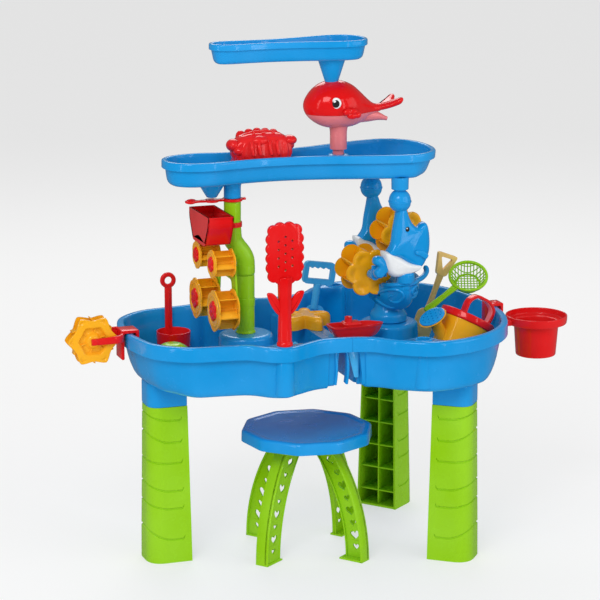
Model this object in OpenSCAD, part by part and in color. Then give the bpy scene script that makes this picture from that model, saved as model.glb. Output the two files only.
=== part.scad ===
/* [Basin] */
// Height of the basin's rim above the floor
rim_z = 377; // [350:1:400]
// Depth of the basin, from rim to underside
basin_depth = 84; // [70:1:90]
// Height of the band that hangs from the basin's rim
rim_band = 23; // [15:1:30]
// Wall thickness of the big moulded pieces
wall = 3; // [2:0.5:4]
// Radius of the tool sockets in the rim
socket_r = 10.5; // [8:0.5:12]
// Depth of the tool sockets
socket_depth = 58; // [40:1:65]
// Half width of the channel under the join of the two basin halves
channel_half = 20; // [15:1:25]

/* [Legs] */
// Leg section at the floor: depth and width
leg_foot = [70, 75];
// Leg section under the basin: depth and width
leg_top = [62, 62];
// Height of the visible leg
leg_h = 256; // [230:1:260]

/* [Towers] */
// Radius of the round columns
column_r = 13.5; // [12:0.5:15]
// Height of the mid tray's rim
mid_z = 646; // [630:1:660]
// Height of the top tray's rim
top_z = 825; // [800:1:840]
// Radius of the two flower wheels between the dolphins
flower_r = 40; // [34:1:41]
// Radius of the upper pair of water wheels
small_wheel_r = 23; // [18:1:24]
// Radius of the lower pair of water wheels
large_wheel_r = 33; // [28:1:34]
// Radius of every axle pin
pin_r = 3; // [2.5:0.1:3.5]

/* [Stool] */
// Height of the stool's seat
seat_z = 205; // [190:1:220]
// Radius of the stool's seat, to its corners
seat_r = 108; // [100:1:110]

/* [Hidden] */
$fn = 48;
running = 0.08;
gap = 0.4;
blue = "deepskyblue";
green = "yellowgreen";
red = "red";
yellow = "gold";

BASIN = [[-325, 0], [-323, 35], [-307, 95], [-262, 135], [-207, 145], [-170, 152], [-142, 177],
    [-110, 187], [-80, 172], [-38, 154], [25, 166], [60, 199], [105, 226], [150, 227], [195, 213],
    [237, 184], [273, 137], [295, 72], [302, 0]];
MID = [[-257, 0], [-251, 25], [-228, 44], [-190, 50], [-150, 43], [-100, 38], [-50, 41], [0, 51],
    [50, 66], [100, 79], [138, 82], [167, 68], [185, 40], [191, 0]];
TOP = [[-179, 0], [-174, 17], [-153, 26], [-115, 24], [-75, 24], [-35, 30], [0, 38], [33, 44],
    [60, 38], [75, 20], [79, 0]];

column_x = -123;
stub_x = -144;
funnel_x = -178;
neck_x = 34;
head_x = 22;
tower_x = 115;
tower_y = 63;
pedestal_z = 360;
wave_z = 436;
mid_floor = 606;
top_floor = 793;
basin_floor = rim_z - basin_depth;
upper_wheel = [138, 0, 506];
lower_wheel = [78, 0, 448];
whale = [36, 0, 719];
rim_wheel_at = [-380, -15, 372];
cup_at = [375, -25, 355];
stool_at = [-32, -36, 0];
stool_turn = -8;
small_pair = [39, 484];
large_pair = [48, 411];
socket_left = [-116, 170];
socket_right = [102, 200];
leg_places = [[-262, 0, 180], [180, -150, -39], [180, 150, 39]];

// One point of a smooth curve that passes through p1 and p2, with p0 and p3 beside them.
function spline_point(p0, p1, p2, p3, t) =
    0.5 * (2 * p1 + (p2 - p0) * t + (2 * p0 - 5 * p1 + 4 * p2 - p3) * t * t
        + (3 * p1 - p0 - 3 * p2 + p3) * t * t * t);

// A closed smooth curve through all points.
function closed_curve(points, steps) =
    let (n = len(points))
    [for (i = [0:n - 1]) for (s = [0:steps - 1])
        spline_point(points[(i + n - 1) % n], points[i], points[(i + 1) % n], points[(i + 2) % n],
            s / steps)];

// The points of one side, followed by their mirror images in the X axis.
function both_sides(half) =
    concat(half, [for (i = [len(half) - 1:-1:0]) if (half[i].y > 0) [half[i].x, -half[i].y]]);

module outline(half, inset = 0) {
    offset(delta = -inset)
        polygon(closed_curve(both_sides(half), 3));
}

// A tray with a flat lip, a band hanging from the lip, a side wall and a floor.
module tray(half, top, band, depth, lip) {
    translate([0, 0, top - wall])
        linear_extrude(wall)
            difference() {
                outline(half);
                outline(half, lip);
            }
    translate([0, 0, top - band])
        linear_extrude(band)
            difference() {
                outline(half);
                outline(half, wall);
            }
    translate([0, 0, top - depth])
        linear_extrude(depth)
            difference() {
                outline(half, lip - wall);
                outline(half, lip);
            }
    translate([0, 0, top - depth])
        linear_extrude(wall)
            outline(half, lip - wall);
}

module ring(outer, inner, h) {
    difference() {
        cylinder(r = outer, h = h);
        translate([0, 0, -1])
            cylinder(r = inner, h = h + 2);
    }
}

module at_leg(i) {
    translate([leg_places[i].x, leg_places[i].y, 0])
        rotate([0, 0, leg_places[i].z])
            children();
}

// ---- basin ----

// The leg's plan: rounded on the outer side (+X), square on the side that faces the middle.
module leg_plan(size, round = 22) {
    offset(r = round, $fn = 32)
        square([size.x - 2 * round, size.y - 2 * round], center = true);
    translate([-size.x / 2, -size.y / 2])
        square([size.x / 3, size.y]);
}

module leg_collar() {
    translate([0, 0, leg_h + gap])
        linear_extrude(basin_floor - leg_h)
            difference() {
                leg_plan(leg_top);
                leg_plan(leg_top - [7, 7], 18);
            }
}

module socket_boss(place) {
    translate([place.x, place.y, basin_floor])
        cylinder(r = socket_r + 5, h = basin_depth);
}

module socket_bore(place) {
    translate([place.x, place.y, rim_z - socket_depth])
        cylinder(r = socket_r, h = socket_depth + 1);
}

module basin_half(side) {
    far = 400;
    start = side < 0 ? -far : 0.2;
    socket = side < 0 ? socket_left : socket_right;
    pedestal_r = side < 0 ? 44 : 48;
    pedestal_x = side < 0 ? column_x : 122;
    legs = side < 0 ? [0] : [1, 2];
    divider_z = rim_z - rim_band;
    color(blue)
        difference() {
            union() {
                intersection() {
                    tray(BASIN, rim_z, rim_band, basin_depth, 12);
                    translate([start, -far, 0])
                        cube([far - 0.2, 2 * far, far]);
                }
                translate([0, 0, basin_floor])
                    linear_extrude(divider_z - basin_floor)
                        intersection() {
                            outline(BASIN, 9);
                            translate([side * (channel_half - wall / 2) - wall / 2, -far])
                                square([wall, 2 * far]);
                        }
                translate([0, 0, divider_z - wall])
                    linear_extrude(wall)
                        intersection() {
                            outline(BASIN, 9);
                            translate([side < 0 ? -channel_half : 0.2, -far])
                                square([channel_half - 0.2, 2 * far]);
                        }
                translate([pedestal_x, 0, basin_floor])
                    cylinder(r = pedestal_r, h = pedestal_z - basin_floor);
                for (s = [-1, 1])
                    socket_boss([socket.x, s * socket.y]);
                for (i = legs)
                    at_leg(i)
                        leg_collar();
            }
            translate([-channel_half + wall, -far, basin_floor - 1])
                cube([2 * (channel_half - wall), 2 * far, divider_z - wall - basin_floor + 1]);
            translate([pedestal_x, 0, basin_floor - 1])
                cylinder(r = pedestal_r - wall, h = pedestal_z - basin_floor - wall + 1);
            translate([pedestal_x, 0, basin_floor])
                cylinder(r = column_r - 2.5, h = 100);
            for (s = [-1, 1])
                socket_bore([socket.x, s * socket.y]);
        }
}

module basin_left() {
    basin_half(-1);
}

module basin_right() {
    basin_half(1);
}

// ---- legs ----

// A tapering channel, open towards the middle of the table, with ribs and a foot plate.
module leg() {
    taper = [leg_top.x / leg_foot.x, leg_top.y / leg_foot.y];
    plug = leg_top - [8, 8];
    color(green) {
        difference() {
            linear_extrude(leg_h, scale = taper, slices = 1)
                leg_plan(leg_foot);
            translate([0, 0, 4])
                linear_extrude(leg_h, scale = taper, slices = 1)
                    channel_plan(leg_foot);
        }
        translate([0, 0, leg_h - 3])
            linear_extrude(basin_floor - leg_h + 1)
                difference() {
                    leg_plan(plug, 18);
                    channel_plan(plug, 15);
                }
        translate([0, 0, leg_h - 5])
            linear_extrude(4)
                leg_plan(leg_top - [3, 3], 20);
        for (z = [64, 128, 192])
            translate([-8, -leg_top.y / 2 + 1.5, z])
                cube([leg_top.x / 2, leg_top.y - 3, wall]);
        translate([-leg_top.x / 2 + 4, -wall / 2, 2])
            cube([leg_top.x - 6, wall, leg_h - 5]);
    }
}

module channel_plan(size, round = 19) {
    inner = size - [2 * wall, 2 * wall];
    offset(r = round, $fn = 32)
        square([inner.x - 2 * round, inner.y - 2 * round], center = true);
    translate([-size.x / 2 - 2, -inner.y / 2])
        square([size.x / 3, inner.y]);
}

module leg_left() {
    at_leg(0)
        leg();
}

module leg_front() {
    at_leg(1)
        leg();
}

module leg_back() {
    at_leg(2)
        leg();
}

// ---- left tower ----

module column_lower() {
    color(green)
        translate([column_x, 0, pedestal_z]) {
            ring(column_r, column_r - 2.5, 95);
            translate([0, 0, -14])
                ring(column_r - 2.8, column_r - 5, 14 + wall);
            ring(column_r, column_r - 5, wall);
        }
}

module column_upper() {
    joint_z = pedestal_z + 95;
    bend = [joint_z + 27, joint_z + 58];
    shift = stub_x - column_x;
    rise = bend[1] - bend[0];
    color(green) {
        translate([column_x, 0, joint_z])
            cylinder(r = column_r, h = bend[0] - joint_z);
        translate([column_x, 0, joint_z - 14])
            cylinder(r = column_r - 2.8, h = 15);
        translate([column_x, 0, bend[0]])
            sphere(r = column_r + 0.6);
        translate([column_x, 0, bend[0]])
            rotate([0, atan2(shift, rise), 0])
                cylinder(r = column_r, h = norm([shift, rise]));
        translate([stub_x, 0, bend[1]])
            sphere(r = column_r + 0.6);
        translate([stub_x, 0, bend[1]])
            cylinder(r = column_r, h = 575 - bend[1]);
        translate([stub_x, 0, 574])
            cylinder(r = 9, h = 26);
    }
}

// A ring that turns on the column, a valve plate under the funnel and a grip.
module gate_lever() {
    z = 575 + gap;
    h = 4.2;
    reach = funnel_x - stub_x;
    color(red)
        translate([stub_x, 0, z]) {
            ring(16, 9 + gap, h);
            translate([reach, 0, 0])
                cylinder(r = 11, h = h);
            difference() {
                translate([reach - 43, -6, 0])
                    cube([43 - reach, 12, h]);
                translate([0, 0, -1])
                    cylinder(r = 12, h = h + 2);
            }
            translate([14, -3, 0])
                cube([8, 6, h]);
        }
}

module wheel_bracket() {
    plate_x = -156.5;
    color(green) {
        translate([plate_x, 0, 0])
            rotate([90, 0, 90])
                linear_extrude(wall) {
                    for (s = [-1, 1])
                        hull() {
                            translate([s * small_pair.x, small_pair.y])
                                circle(r = 7);
                            translate([s * large_pair.x, large_pair.y])
                                circle(r = 7);
                        }
                    translate([-large_pair.x, large_pair.y - 6])
                        square([2 * large_pair.x, 12]);
                    translate([-small_pair.x, 458])
                        square([2 * small_pair.x, 12]);
                }
        for (z = [large_pair.y - 6, 458])
            translate([column_x, 0, z]) {
                ring(column_r + 3.3, column_r + 0.3, 12);
                translate([plate_x - column_x + 1, -6, 0])
                    cube([18.5, 12, 12]);
            }
        for (s = [-1, 1], pair = [small_pair, large_pair])
            translate([plate_x + 1, s * pair.x, pair.y])
                rotate([0, -90, 0])
                    cylinder(r = pin_r, h = 36);
    }
}

module hopper() {
    front_x = -200;
    depth = 42;
    color(red)
        difference() {
            union() {
                translate([front_x, 0, 0])
                    rotate([90, 0, 90])
                        linear_extrude(depth)
                            difference() {
                                polygon([[-50, 560], [-50, 546], [-30, 511], [30, 511], [50, 546], [50, 560]]);
                                polygon([[-48, 561], [-48, 547], [-31, 517], [0, 526], [31, 517], [48, 547],
                                    [48, 561]]);
                            }
                for (x = [front_x, front_x + depth - 2])
                    translate([x, 0, 0])
                        rotate([90, 0, 90])
                            linear_extrude(2)
                                polygon([[-50, 560], [-50, 546], [-30, 511], [30, 511], [50, 546], [50, 560]]);
                translate([stub_x, 0, 532])
                    cylinder(r = column_r + 3.3, h = 14);
            }
            translate([stub_x, 0, 505])
                cylinder(r = column_r + 0.3, h = 60);
            for (s = [-1, 1])
                translate([-196, s * 34 - 5, 508])
                    cube([34, 10, 14]);
        }
}

// Two discs with six paddles between them, turning on a pin along its axis.
module water_wheel(radius, width) {
    color(yellow) {
        ring(6, pin_r + running, width);
        for (z = [0, width - 2])
            translate([0, 0, z])
                ring(radius, pin_r + running, 2);
        for (a = [0:60:300])
            rotate([0, 0, a])
                translate([5, -1, 0])
                    cube([radius - 7, 2, width]);
    }
}

// A disc with six round lobes on its edge, seen from the front.
module flower_plan(radius, lobe) {
    circle(r = radius - lobe);
    for (a = [0:60:300])
        rotate([0, 0, a])
            translate([radius - lobe, 0])
                circle(r = lobe);
}

module flower_cap(radius) {
    color(red)
        linear_extrude(4)
            flower_plan(radius, radius * 0.36);
}

// The pair is [distance from the middle, height]; side is -1 at the front, 1 at the back.
module on_pin(pair, side, out) {
    translate([-158 - out, side * pair.x, pair.y])
        rotate([0, -90, 0])
            children();
}

module wheel_upper_front() {
    on_pin(small_pair, -1, 0)
        water_wheel(small_wheel_r, 34);
}

module wheel_upper_back() {
    on_pin(small_pair, 1, 0)
        water_wheel(small_wheel_r, 34);
}

module wheel_lower_front() {
    on_pin(large_pair, -1, 0)
        water_wheel(large_wheel_r, 34);
}

module wheel_lower_back() {
    on_pin(large_pair, 1, 0)
        water_wheel(large_wheel_r, 34);
}

module cap_upper_front() {
    on_pin(small_pair, -1, 34)
        flower_cap(12.5);
}

module cap_upper_back() {
    on_pin(small_pair, 1, 34)
        flower_cap(12.5);
}

module cap_lower_front() {
    on_pin(large_pair, -1, 34)
        flower_cap(16.5);
}

module cap_lower_back() {
    on_pin(large_pair, 1, 34)
        flower_cap(16.5);
}

// ---- mid tray ----

module mid_tray() {
    stub_bottom = 580;
    color(blue)
        difference() {
            union() {
                tray(MID, mid_z, 13, mid_z - mid_floor, 8);
                translate([stub_x, 0, stub_bottom])
                    cylinder(r = column_r, h = mid_floor - stub_bottom + 1);
                translate([funnel_x, 0, 583])
                    cylinder(r1 = 8, r2 = 21, h = mid_floor - 583 + 1);
                translate([funnel_x, 0, mid_floor])
                    cylinder(r = 25, h = 9);
                translate([neck_x, 0, mid_floor])
                    cylinder(r = 17, h = 34);
                for (s = [-1, 1])
                    translate([tower_x, s * tower_y, 585.5])
                        cylinder(r = 14.5, h = mid_floor - 585);
            }
            translate([stub_x, 0, stub_bottom - 1])
                cylinder(r = 9.2, h = 26);
            translate([funnel_x, 0, 585])
                cylinder(r1 = 6, r2 = 21, h = 31);
            translate([funnel_x, 0, 580])
                cylinder(r = 5, h = 10);
            translate([neck_x, 0, mid_floor + wall])
                cylinder(r = 9 + gap, h = 40);
            for (s = [-1, 1])
                translate([tower_x, s * tower_y, 584])
                    cylinder(r = 9.2, h = 20);
            for (x = [70:14:154], y = [-28:14:28])
                translate([x, y, mid_floor - 1])
                    cylinder(r = 1.5, h = wall + 2, $fn = 16);
        }
}

// ---- right tower ----

module wave_base() {
    color(blue)
        difference() {
            union() {
                translate([122, 0, pedestal_z + gap])
                    cylinder(r = 30, h = 30);
                hull() {
                    for (s = [-1, 1])
                        translate([126, s * 36, 0]) {
                            translate([0, 0, wave_z - 6])
                                cylinder(r = 39, h = 6, $fn = 32);
                            translate([0, -s * 14, 384])
                                cylinder(r = 22, h = 6, $fn = 32);
                        }
                }
            }
            translate([lower_wheel.x, 50, lower_wheel.z])
                rotate([90, 0, 0])
                    cylinder(r = flower_r + 3, h = 100);
            for (s = [-1, 1])
                translate([125.5, s * tower_y, wave_z - 12])
                    cylinder(r = 9.2, h = 20);
        }
}

// Side is -1 at the front and 1 at the back. The plate's inner face has a boss for each axle.
module dolphin(side) {
    body_t = 20;
    inner_y = 33;
    color(blue)
        difference() {
            union() {
                translate([tower_x, side * tower_y, 567])
                    sphere(r = 18.2);
                translate([tower_x, side * tower_y, 570])
                    cylinder(r = 9, h = 30);
                translate([0, side * tower_y + body_t / 2, 0])
                    rotate([90, 0, 0])
                        linear_extrude(body_t) {
                            hull() {
                                translate([116, 548])
                                    circle(r = 14);
                                translate([122, 520])
                                    circle(r = 26);
                            }
                            hull() {
                                translate([122, 520])
                                    circle(r = 26);
                                translate([144, 496])
                                    circle(r = 19);
                            }
                            hull() {
                                translate([144, 496])
                                    circle(r = 19);
                                translate([110, 466])
                                    circle(r = 9);
                            }
                            translate([80, 472])
                                circle(r = 10);
                            translate([80, 457])
                                circle(r = 10);
                            translate([95, 464])
                                circle(r = 9);
                        }
                translate([125.5, side * tower_y, wave_z + gap])
                    cylinder(r = 12.5, h = 30);
                translate([125.5, side * tower_y, wave_z - 11])
                    cylinder(r = 9, h = 13);
                for (w = [upper_wheel, lower_wheel])
                    translate([w.x, side * (inner_y + 10), w.z])
                        rotate([90, 0, 0])
                            cylinder(r = 7, h = 22, center = true);
                translate([lower_wheel.x - 7, side * 53 - 1.5, lower_wheel.z])
                    cube([26, 3, 20]);
            }
            for (w = [upper_wheel, lower_wheel])
                translate([w.x, side * (inner_y + 6), w.z])
                    rotate([90, 0, 0])
                        cylinder(r = pin_r + 0.2, h = 22, center = true);
            translate([tower_x, side * (tower_y + 12), 464])
                cube([200, 8.2, 36], center = true);
        }
}

module dolphin_front() {
    dolphin(-1);
}

module dolphin_back() {
    dolphin(1);
}

// The pale belly panel, set into the dolphin's outer face.
module belly(side) {
    color("white")
        translate([0, side * (tower_y + 9) + 1, 0])
            rotate([90, 0, 0])
                linear_extrude(2)
                    difference() {
                        hull() {
                            translate([96, 472])
                                circle(r = 5);
                            translate([134, 476])
                                circle(r = 5);
                            translate([118, 458])
                                circle(r = 8);
                        }
                        translate([125.5, 455])
                            square([30, 30], center = true);
                    }
}

module belly_front() {
    belly(-1);
}

module belly_back() {
    belly(1);
}

module dolphin_eyes() {
    color("black")
        for (side = [-1, 1])
            translate([126, side * (tower_y + 11), 524])
                rotate([90, 0, 0])
                    cylinder(r = 2.4, h = 2, center = true);
}

// Two flower discs with paddles between them.
module flower_wheel(at) {
    width = 60;
    disc = 4;
    color(yellow)
        translate([at.x, width / 2, at.z])
            rotate([90, 0, 0])
                difference() {
                    union() {
                        for (z = [0, width - disc])
                            translate([0, 0, z])
                                linear_extrude(disc)
                                    flower_plan(flower_r, flower_r * 0.32);
                        cylinder(r = 7, h = width);
                        for (a = [0:60:300])
                            rotate([0, 0, a])
                                translate([5, -1, disc / 2])
                                    cube([flower_r - 9, 2, width - disc]);
                    }
                    translate([0, 0, -1])
                        cylinder(r = pin_r + running, h = width + 2);
                }
}

module flower_wheel_upper() {
    flower_wheel(upper_wheel);
}

module flower_wheel_lower() {
    flower_wheel(lower_wheel);
}

module axle(at) {
    color("silver")
        translate([at.x, 0, at.z])
            rotate([90, 0, 0])
                cylinder(r = pin_r, h = 90, center = true);
}

module axle_upper() {
    axle(upper_wheel);
}

module axle_lower() {
    axle(lower_wheel);
}

// ---- whale and top tray ----

// The body turned about the X axis, from an ellipse of the two half lengths.
module whale_body(half_length, half_height) {
    steps = 24;
    translate(whale)
        rotate([0, 90, 0])
            rotate_extrude()
                polygon([for (i = [0:steps])
                    [half_height * sin(180 * i / steps), -half_length * cos(180 * i / steps)]]);
}

module whale_half(low, high) {
    intersection() {
        difference() {
            whale_body(58, 39);
            whale_body(55, 36);
        }
        translate([-100, -100, low])
            cube([300, 200, high - low]);
    }
}

module whale_upper() {
    color(red)
        difference() {
            union() {
                whale_half(704.2, 800);
                translate([head_x, 0, 738])
                    cylinder(r = 15, h = 17);
                hull() {
                    translate([84, 0, 719])
                        sphere(r = 11, $fn = 24);
                    translate([112, 0, 716])
                        sphere(r = 6, $fn = 24);
                }
                for (s = [-1, 1])
                    hull() {
                        translate([112, 0, 716])
                            sphere(r = 5, $fn = 24);
                        translate([133, s * 20, 728])
                            sphere(r = 6, $fn = 24);
                    }
                for (s = [-1, 1])
                    hull() {
                        translate([46, s * 37, 708])
                            sphere(r = 3, $fn = 20);
                        translate([62, s * 46, 712])
                            sphere(r = 3, $fn = 20);
                    }
            }
            translate([head_x, 0, 735])
                cylinder(r = 11 + gap, h = 40);
        }
}

module whale_lower() {
    color("lightcoral") {
        whale_half(600, 704);
        difference() {
            translate([neck_x, 0, mid_z + 2])
                cylinder(r = column_r, h = 39);
            translate([neck_x, 0, mid_z + 1])
                cylinder(r = column_r - 3, h = 41);
        }
        translate([neck_x, 0, mid_floor + wall + gap])
            ring(9, 6.5, mid_z + 10 - mid_floor);
        translate([neck_x, 0, mid_z + 2])
            ring(column_r - 1, 6.5, 4);
        hull() {
            translate([88, 0, 694.5])
                rotate([0, 100, 0])
                    cylinder(r = 8, h = 4);
            translate([114, 0, 692])
                rotate([0, 110, 0])
                    cylinder(r = 6, h = 4);
        }
    }
}

module whale_eyes() {
    color("white")
        for (s = [-1, 1])
            translate([17.3, s * 36.9, 722])
                rotate([90, 0, s > 0 ? 193 : -13])
                    translate([0, 0, 0.2])
                        cylinder(r = 7, h = 3);
}

module top_tray() {
    color(blue)
        difference() {
            union() {
                tray(TOP, top_z, 10, top_z - top_floor, 6);
                translate([head_x, 0, 758.5])
                    cylinder(r1 = 11, r2 = 21.5, h = top_floor - 758.5 + 1);
                translate([head_x, 0, 740])
                    cylinder(r = 11, h = 19);
            }
            translate([head_x, 0, 730])
                cylinder(r = 7, h = 70);
            for (x = [-150:14:-52], y = [-12:12:12])
                translate([x, y, top_floor - 1])
                    cylinder(r = 1.5, h = wall + 2, $fn = 16);
        }
}

// ---- pieces on the rims ----

module crab_mould() {
    base = mid_floor + wall + gap;
    half_w = 26;
    ends = [-122, -70];
    color(red)
        difference() {
            union() {
                hull() {
                    for (x = ends)
                        translate([x, 0, 655])
                            sphere(r = half_w, $fn = 32);
                }
                for (x = ends)
                    translate([x, 0, base])
                        cylinder(r = half_w, h = 655 - base);
                translate([ends[0], -half_w, base])
                    cube([ends[1] - ends[0], 2 * half_w, 655 - base]);
                translate([-143, 0, 664])
                    sphere(r = 10);
                translate([-50, 0, 664])
                    sphere(r = 11);
                for (i = [0:4])
                    translate([-122 + 13 * i, 16, 669 + 4 * sin(36 * i + 18)])
                        sphere(r = 9);
            }
            translate([-128, -18, base - 1])
                cube([64, 36, 46]);
        }
}

module rim_bracket() {
    top = rim_z + gap;
    color(red) {
        translate([-333, -16, top])
            cube([30, 32, 5]);
        translate([-309, -16, top - 32])
            cube([4, 32, 34]);
        translate([-333, -16, top - 42])
            cube([5, 32, 46]);
        translate([-388, 8, 364])
            cube([58, 6, 16]);
        translate([-333, 8, 364])
            cube([5, 8, 16]);
    }
}

module rim_axle() {
    color(red)
        translate([rim_wheel_at.x, 8, rim_wheel_at.z])
            rotate([90, 0, 0]) {
                cylinder(r = pin_r, h = 42);
                translate([0, 0, 40])
                    cylinder(r = 6, h = 3);
            }
}

module rim_wheel() {
    width = 30;
    color(yellow)
        translate([rim_wheel_at.x, rim_wheel_at.y + 16, rim_wheel_at.z])
            rotate([90, 0, 0])
                difference() {
                    linear_extrude(width)
                        flower_plan(41, 12);
                    translate([0, 0, -1])
                        cylinder(r = pin_r + running, h = width + 2);
                    translate([0, 0, width - 6])
                        ring(24, 9, 8);
                }
}

module cup() {
    top = cup_at.z;
    color(red) {
        translate([cup_at.x, cup_at.y, 0])
            rotate_extrude()
                polygon([[0, 287], [33.5, 287], [37, top - 14], [51, top - 14], [51, top], [48.5, top],
                    [48.5, top - 11.5], [34.5, top - 11.5], [31, 290], [0, 290]]);
        translate([308, cup_at.y - 13, top - 14])
            cube([20, 26, 12]);
        translate([305.5, cup_at.y - 13, top - 20])
            cube([4, 26, rim_z + gap + 5 - top + 20]);
        translate([282, cup_at.y - 13, rim_z + gap])
            cube([27.5, 26, 5]);
        translate([282, cup_at.y - 13, rim_z - 30])
            cube([4, 26, 33]);
    }
}

// The stem stands in the front left socket of the rim.
module flower_shovel() {
    at = [socket_left.x, -socket_left.y];
    head_z = 523;
    color(red)
        translate([at.x, at.y, 0]) {
            translate([0, 0, rim_z - socket_depth + gap])
                cylinder(r = socket_r - gap, h = socket_depth + 4);
            translate([0, 0, rim_z + gap])
                cylinder(r = 11, h = head_z - 46 - rim_z);
            for (s = [-1, 1])
                translate([0, 3, 428])
                    rotate([90, s * 20, 0])
                        linear_extrude(6)
                            polygon([[s * 8, 0], [s * 14, 22], [s * 20, 40], [s * 4, 30]]);
            translate([0, 4.5, head_z])
                rotate([90, 0, 0])
                    difference() {
                        linear_extrude(9) {
                            square([48, 84], center = true);
                            for (s = [-1, 1], z = [-32:16:32])
                                translate([s * 22, z])
                                    circle(r = 9);
                            for (x = [-14, 0, 14], s = [-1, 1])
                                translate([x, s * 41])
                                    circle(r = 9);
                        }
                        translate([0, 0, 6])
                            linear_extrude(4)
                                square([38, 72], center = true);
                        for (c = [[-11, 3], [0, 4], [11, 3]], i = [0:c[1]])
                            translate([c[0], 13 * (i - c[1] / 2), -1])
                                cylinder(r = 3, h = 12, $fn = 24);
                    }
        }
}

// ---- toys in the basin ----

module scoop() {
    floor_z = basin_floor + wall + gap;
    color(red)
        translate([-213, 101, floor_z]) {
            difference() {
                cylinder(r = 28, h = 50);
                translate([0, 0, 2.5])
                    cylinder(r = 25.5, h = 50);
            }
            translate([-6, 25, 10])
                cube([12, 5, 110]);
            translate([0, 30, 128])
                rotate([90, 0, 0])
                    ring(13, 6, 5);
        }
}

module dome_mould() {
    floor_z = basin_floor + wall + gap;
    color(green)
        translate([-242, 10, floor_z])
            difference() {
                intersection() {
                    cylinder(r = 36, h = 60);
                    translate([0, 0, 4])
                        sphere(r = 44);
                }
                translate([0, 0, -1])
                    cylinder(r = 31, h = 26);
            }
}

module shell_mould() {
    floor_z = basin_floor + wall + gap;
    color("lightskyblue")
        translate([-70, -86, floor_z])
            difference() {
                union() {
                    cylinder(r1 = 38, r2 = 24, h = 40);
                    for (i = [0:2])
                        translate([0, 0, 40 + 8 * i])
                            cylinder(r1 = 24 - 7 * i, r2 = 18 - 7 * i, h = 8);
                }
                translate([0, 0, -1])
                    cylinder(r = 22, h = 36);
            }
}

module star_mould() {
    floor_z = rim_z - rim_band + gap;
    color(yellow)
        translate([-12, 30, floor_z])
            difference() {
                union() {
                    cylinder(r = 24, h = 22);
                    for (a = [0:72:288])
                        rotate([0, 0, a])
                            translate([30, 0, 0])
                                cylinder(r = 14, h = 18);
                }
                translate([0, 0, -1])
                    cylinder(r = 20, h = 18);
            }
}

module boat_hull() {
    floor_z = rim_z - rim_band + gap;
    color(red)
        translate([42, -62, floor_z])
            difference() {
                linear_extrude(20)
                    polygon([[-46, -14], [-38, -19], [22, -19], [46, 0], [22, 19], [-38, 19], [-46, 14]]);
                translate([0, 0, 3])
                    linear_extrude(20)
                        polygon([[-42, -12], [-36, -15], [20, -15], [38, 0], [20, 15], [-36, 15], [-42, 12]]);
            }
}

module boat_cabin() {
    floor_z = rim_z - rim_band + gap;
    color(red)
        translate([34, -62, floor_z + 3]) {
            translate([-14, -11, 0])
                cube([28, 22, 22]);
            translate([-5, 0, 22])
                cylinder(r = 6, h = 8);
        }
}

module blue_shovel() {
    color("lightskyblue")
        translate([38, 146, 302])
            rotate([0, 9, 0]) {
                translate([-15, 0, 0])
                    cube([34, 3, 56]);
                translate([0, 1.5, 50])
                    cylinder(r = 7, h = 44);
                translate([0, 6, 112])
                    rotate([90, 0, 0])
                        linear_extrude(9)
                            difference() {
                                square([56, 38], center = true);
                                square([40, 20], center = true);
                            }
            }
}

module tan_shovel() {
    color("navajowhite")
        translate([206, 76, 304])
            rotate([0, 21, 0]) {
                translate([-18, 0, 0])
                    cube([36, 3, 52]);
                translate([-6, 0, 44])
                    cube([12, 8, 72]);
                translate([0, 8, 112])
                    rotate([90, 0, 0])
                        linear_extrude(8)
                            difference() {
                                polygon([[-9, 0], [9, 0], [19, 38], [-19, 38]]);
                                polygon([[0, 10], [11, 32], [-11, 32]]);
                            }
            }
}

// A tilted bowl on a flat handle.
module sieve() {
    color(green)
        translate([278, 36, 415])
            rotate([38, 0, -20]) {
                translate([0, 0, -22])
                    rotate_extrude()
                        polygon([[0, 0], [20, 0], [31, 20], [33, 20], [33, 22], [29.5, 22], [18.8, 2], [0, 2]]);
                rotate([0, 0, -135])
                    translate([31, -6, -6])
                        cube([72, 12, 5]);
            }
}

module can_place() {
    translate([194, -92, 315])
        rotate([0, 0, 15])
            rotate([0, 30, 0])
                children();
}

module can_spout() {
    translate([-28, 0, 20])
        rotate([0, -62, 0])
            children();
}

module can_body() {
    color(yellow)
        can_place() {
            difference() {
                cylinder(r1 = 36, r2 = 43, h = 60);
                translate([0, 0, wall])
                    cylinder(r1 = 33, r2 = 40.5, h = 60);
                translate([0, 0, 40])
                    cylinder(r = 40, h = 30);
            }
            difference() {
                can_spout()
                    cylinder(r = 10, h = 40);
                translate([0, 0, wall])
                    cylinder(r1 = 34, r2 = 41, h = 60);
            }
            can_spout()
                translate([0, 0, 36])
                    cylinder(r1 = 10, r2 = 24, h = 9);
        }
}

module can_rim() {
    color(red)
        can_place() {
            translate([0, 0, 60])
                ring(46, 39, 12);
            intersection() {
                translate([0, 0, 69])
                    cylinder(r = 45, h = 3);
                translate([4, -50, 60])
                    cube([50, 100, 20]);
            }
            translate([0, 6, 70])
                rotate([90, 0, 0])
                    linear_extrude(12)
                        difference() {
                            translate([6, 0])
                                square([40, 38]);
                            translate([14, -1])
                                square([24, 30]);
                        }
        }
}

module can_rose() {
    color(blue)
        can_place()
            can_spout()
                translate([0, 0, 45])
                    cylinder(r = 22, h = 3);
}

// ---- stool ----

module at_stool() {
    translate(stool_at)
        rotate([0, 0, stool_turn])
            children();
}

module stool_seat() {
    color(blue)
        at_stool()
            translate([0, 0, seat_z - 19])
                difference() {
                    cylinder(r = seat_r, h = 19, $fn = 10);
                    translate([0, 0, -1])
                        cylinder(r = seat_r - wall - 1, h = 17, $fn = 10);
                }
}

module stool_frame() {
    z = seat_z - 31;
    color(green)
        at_stool()
            translate([0, 0, z])
                linear_extrude(27)
                    difference() {
                        square([104, 104], center = true);
                        square([98, 98], center = true);
                    }
}

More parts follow.
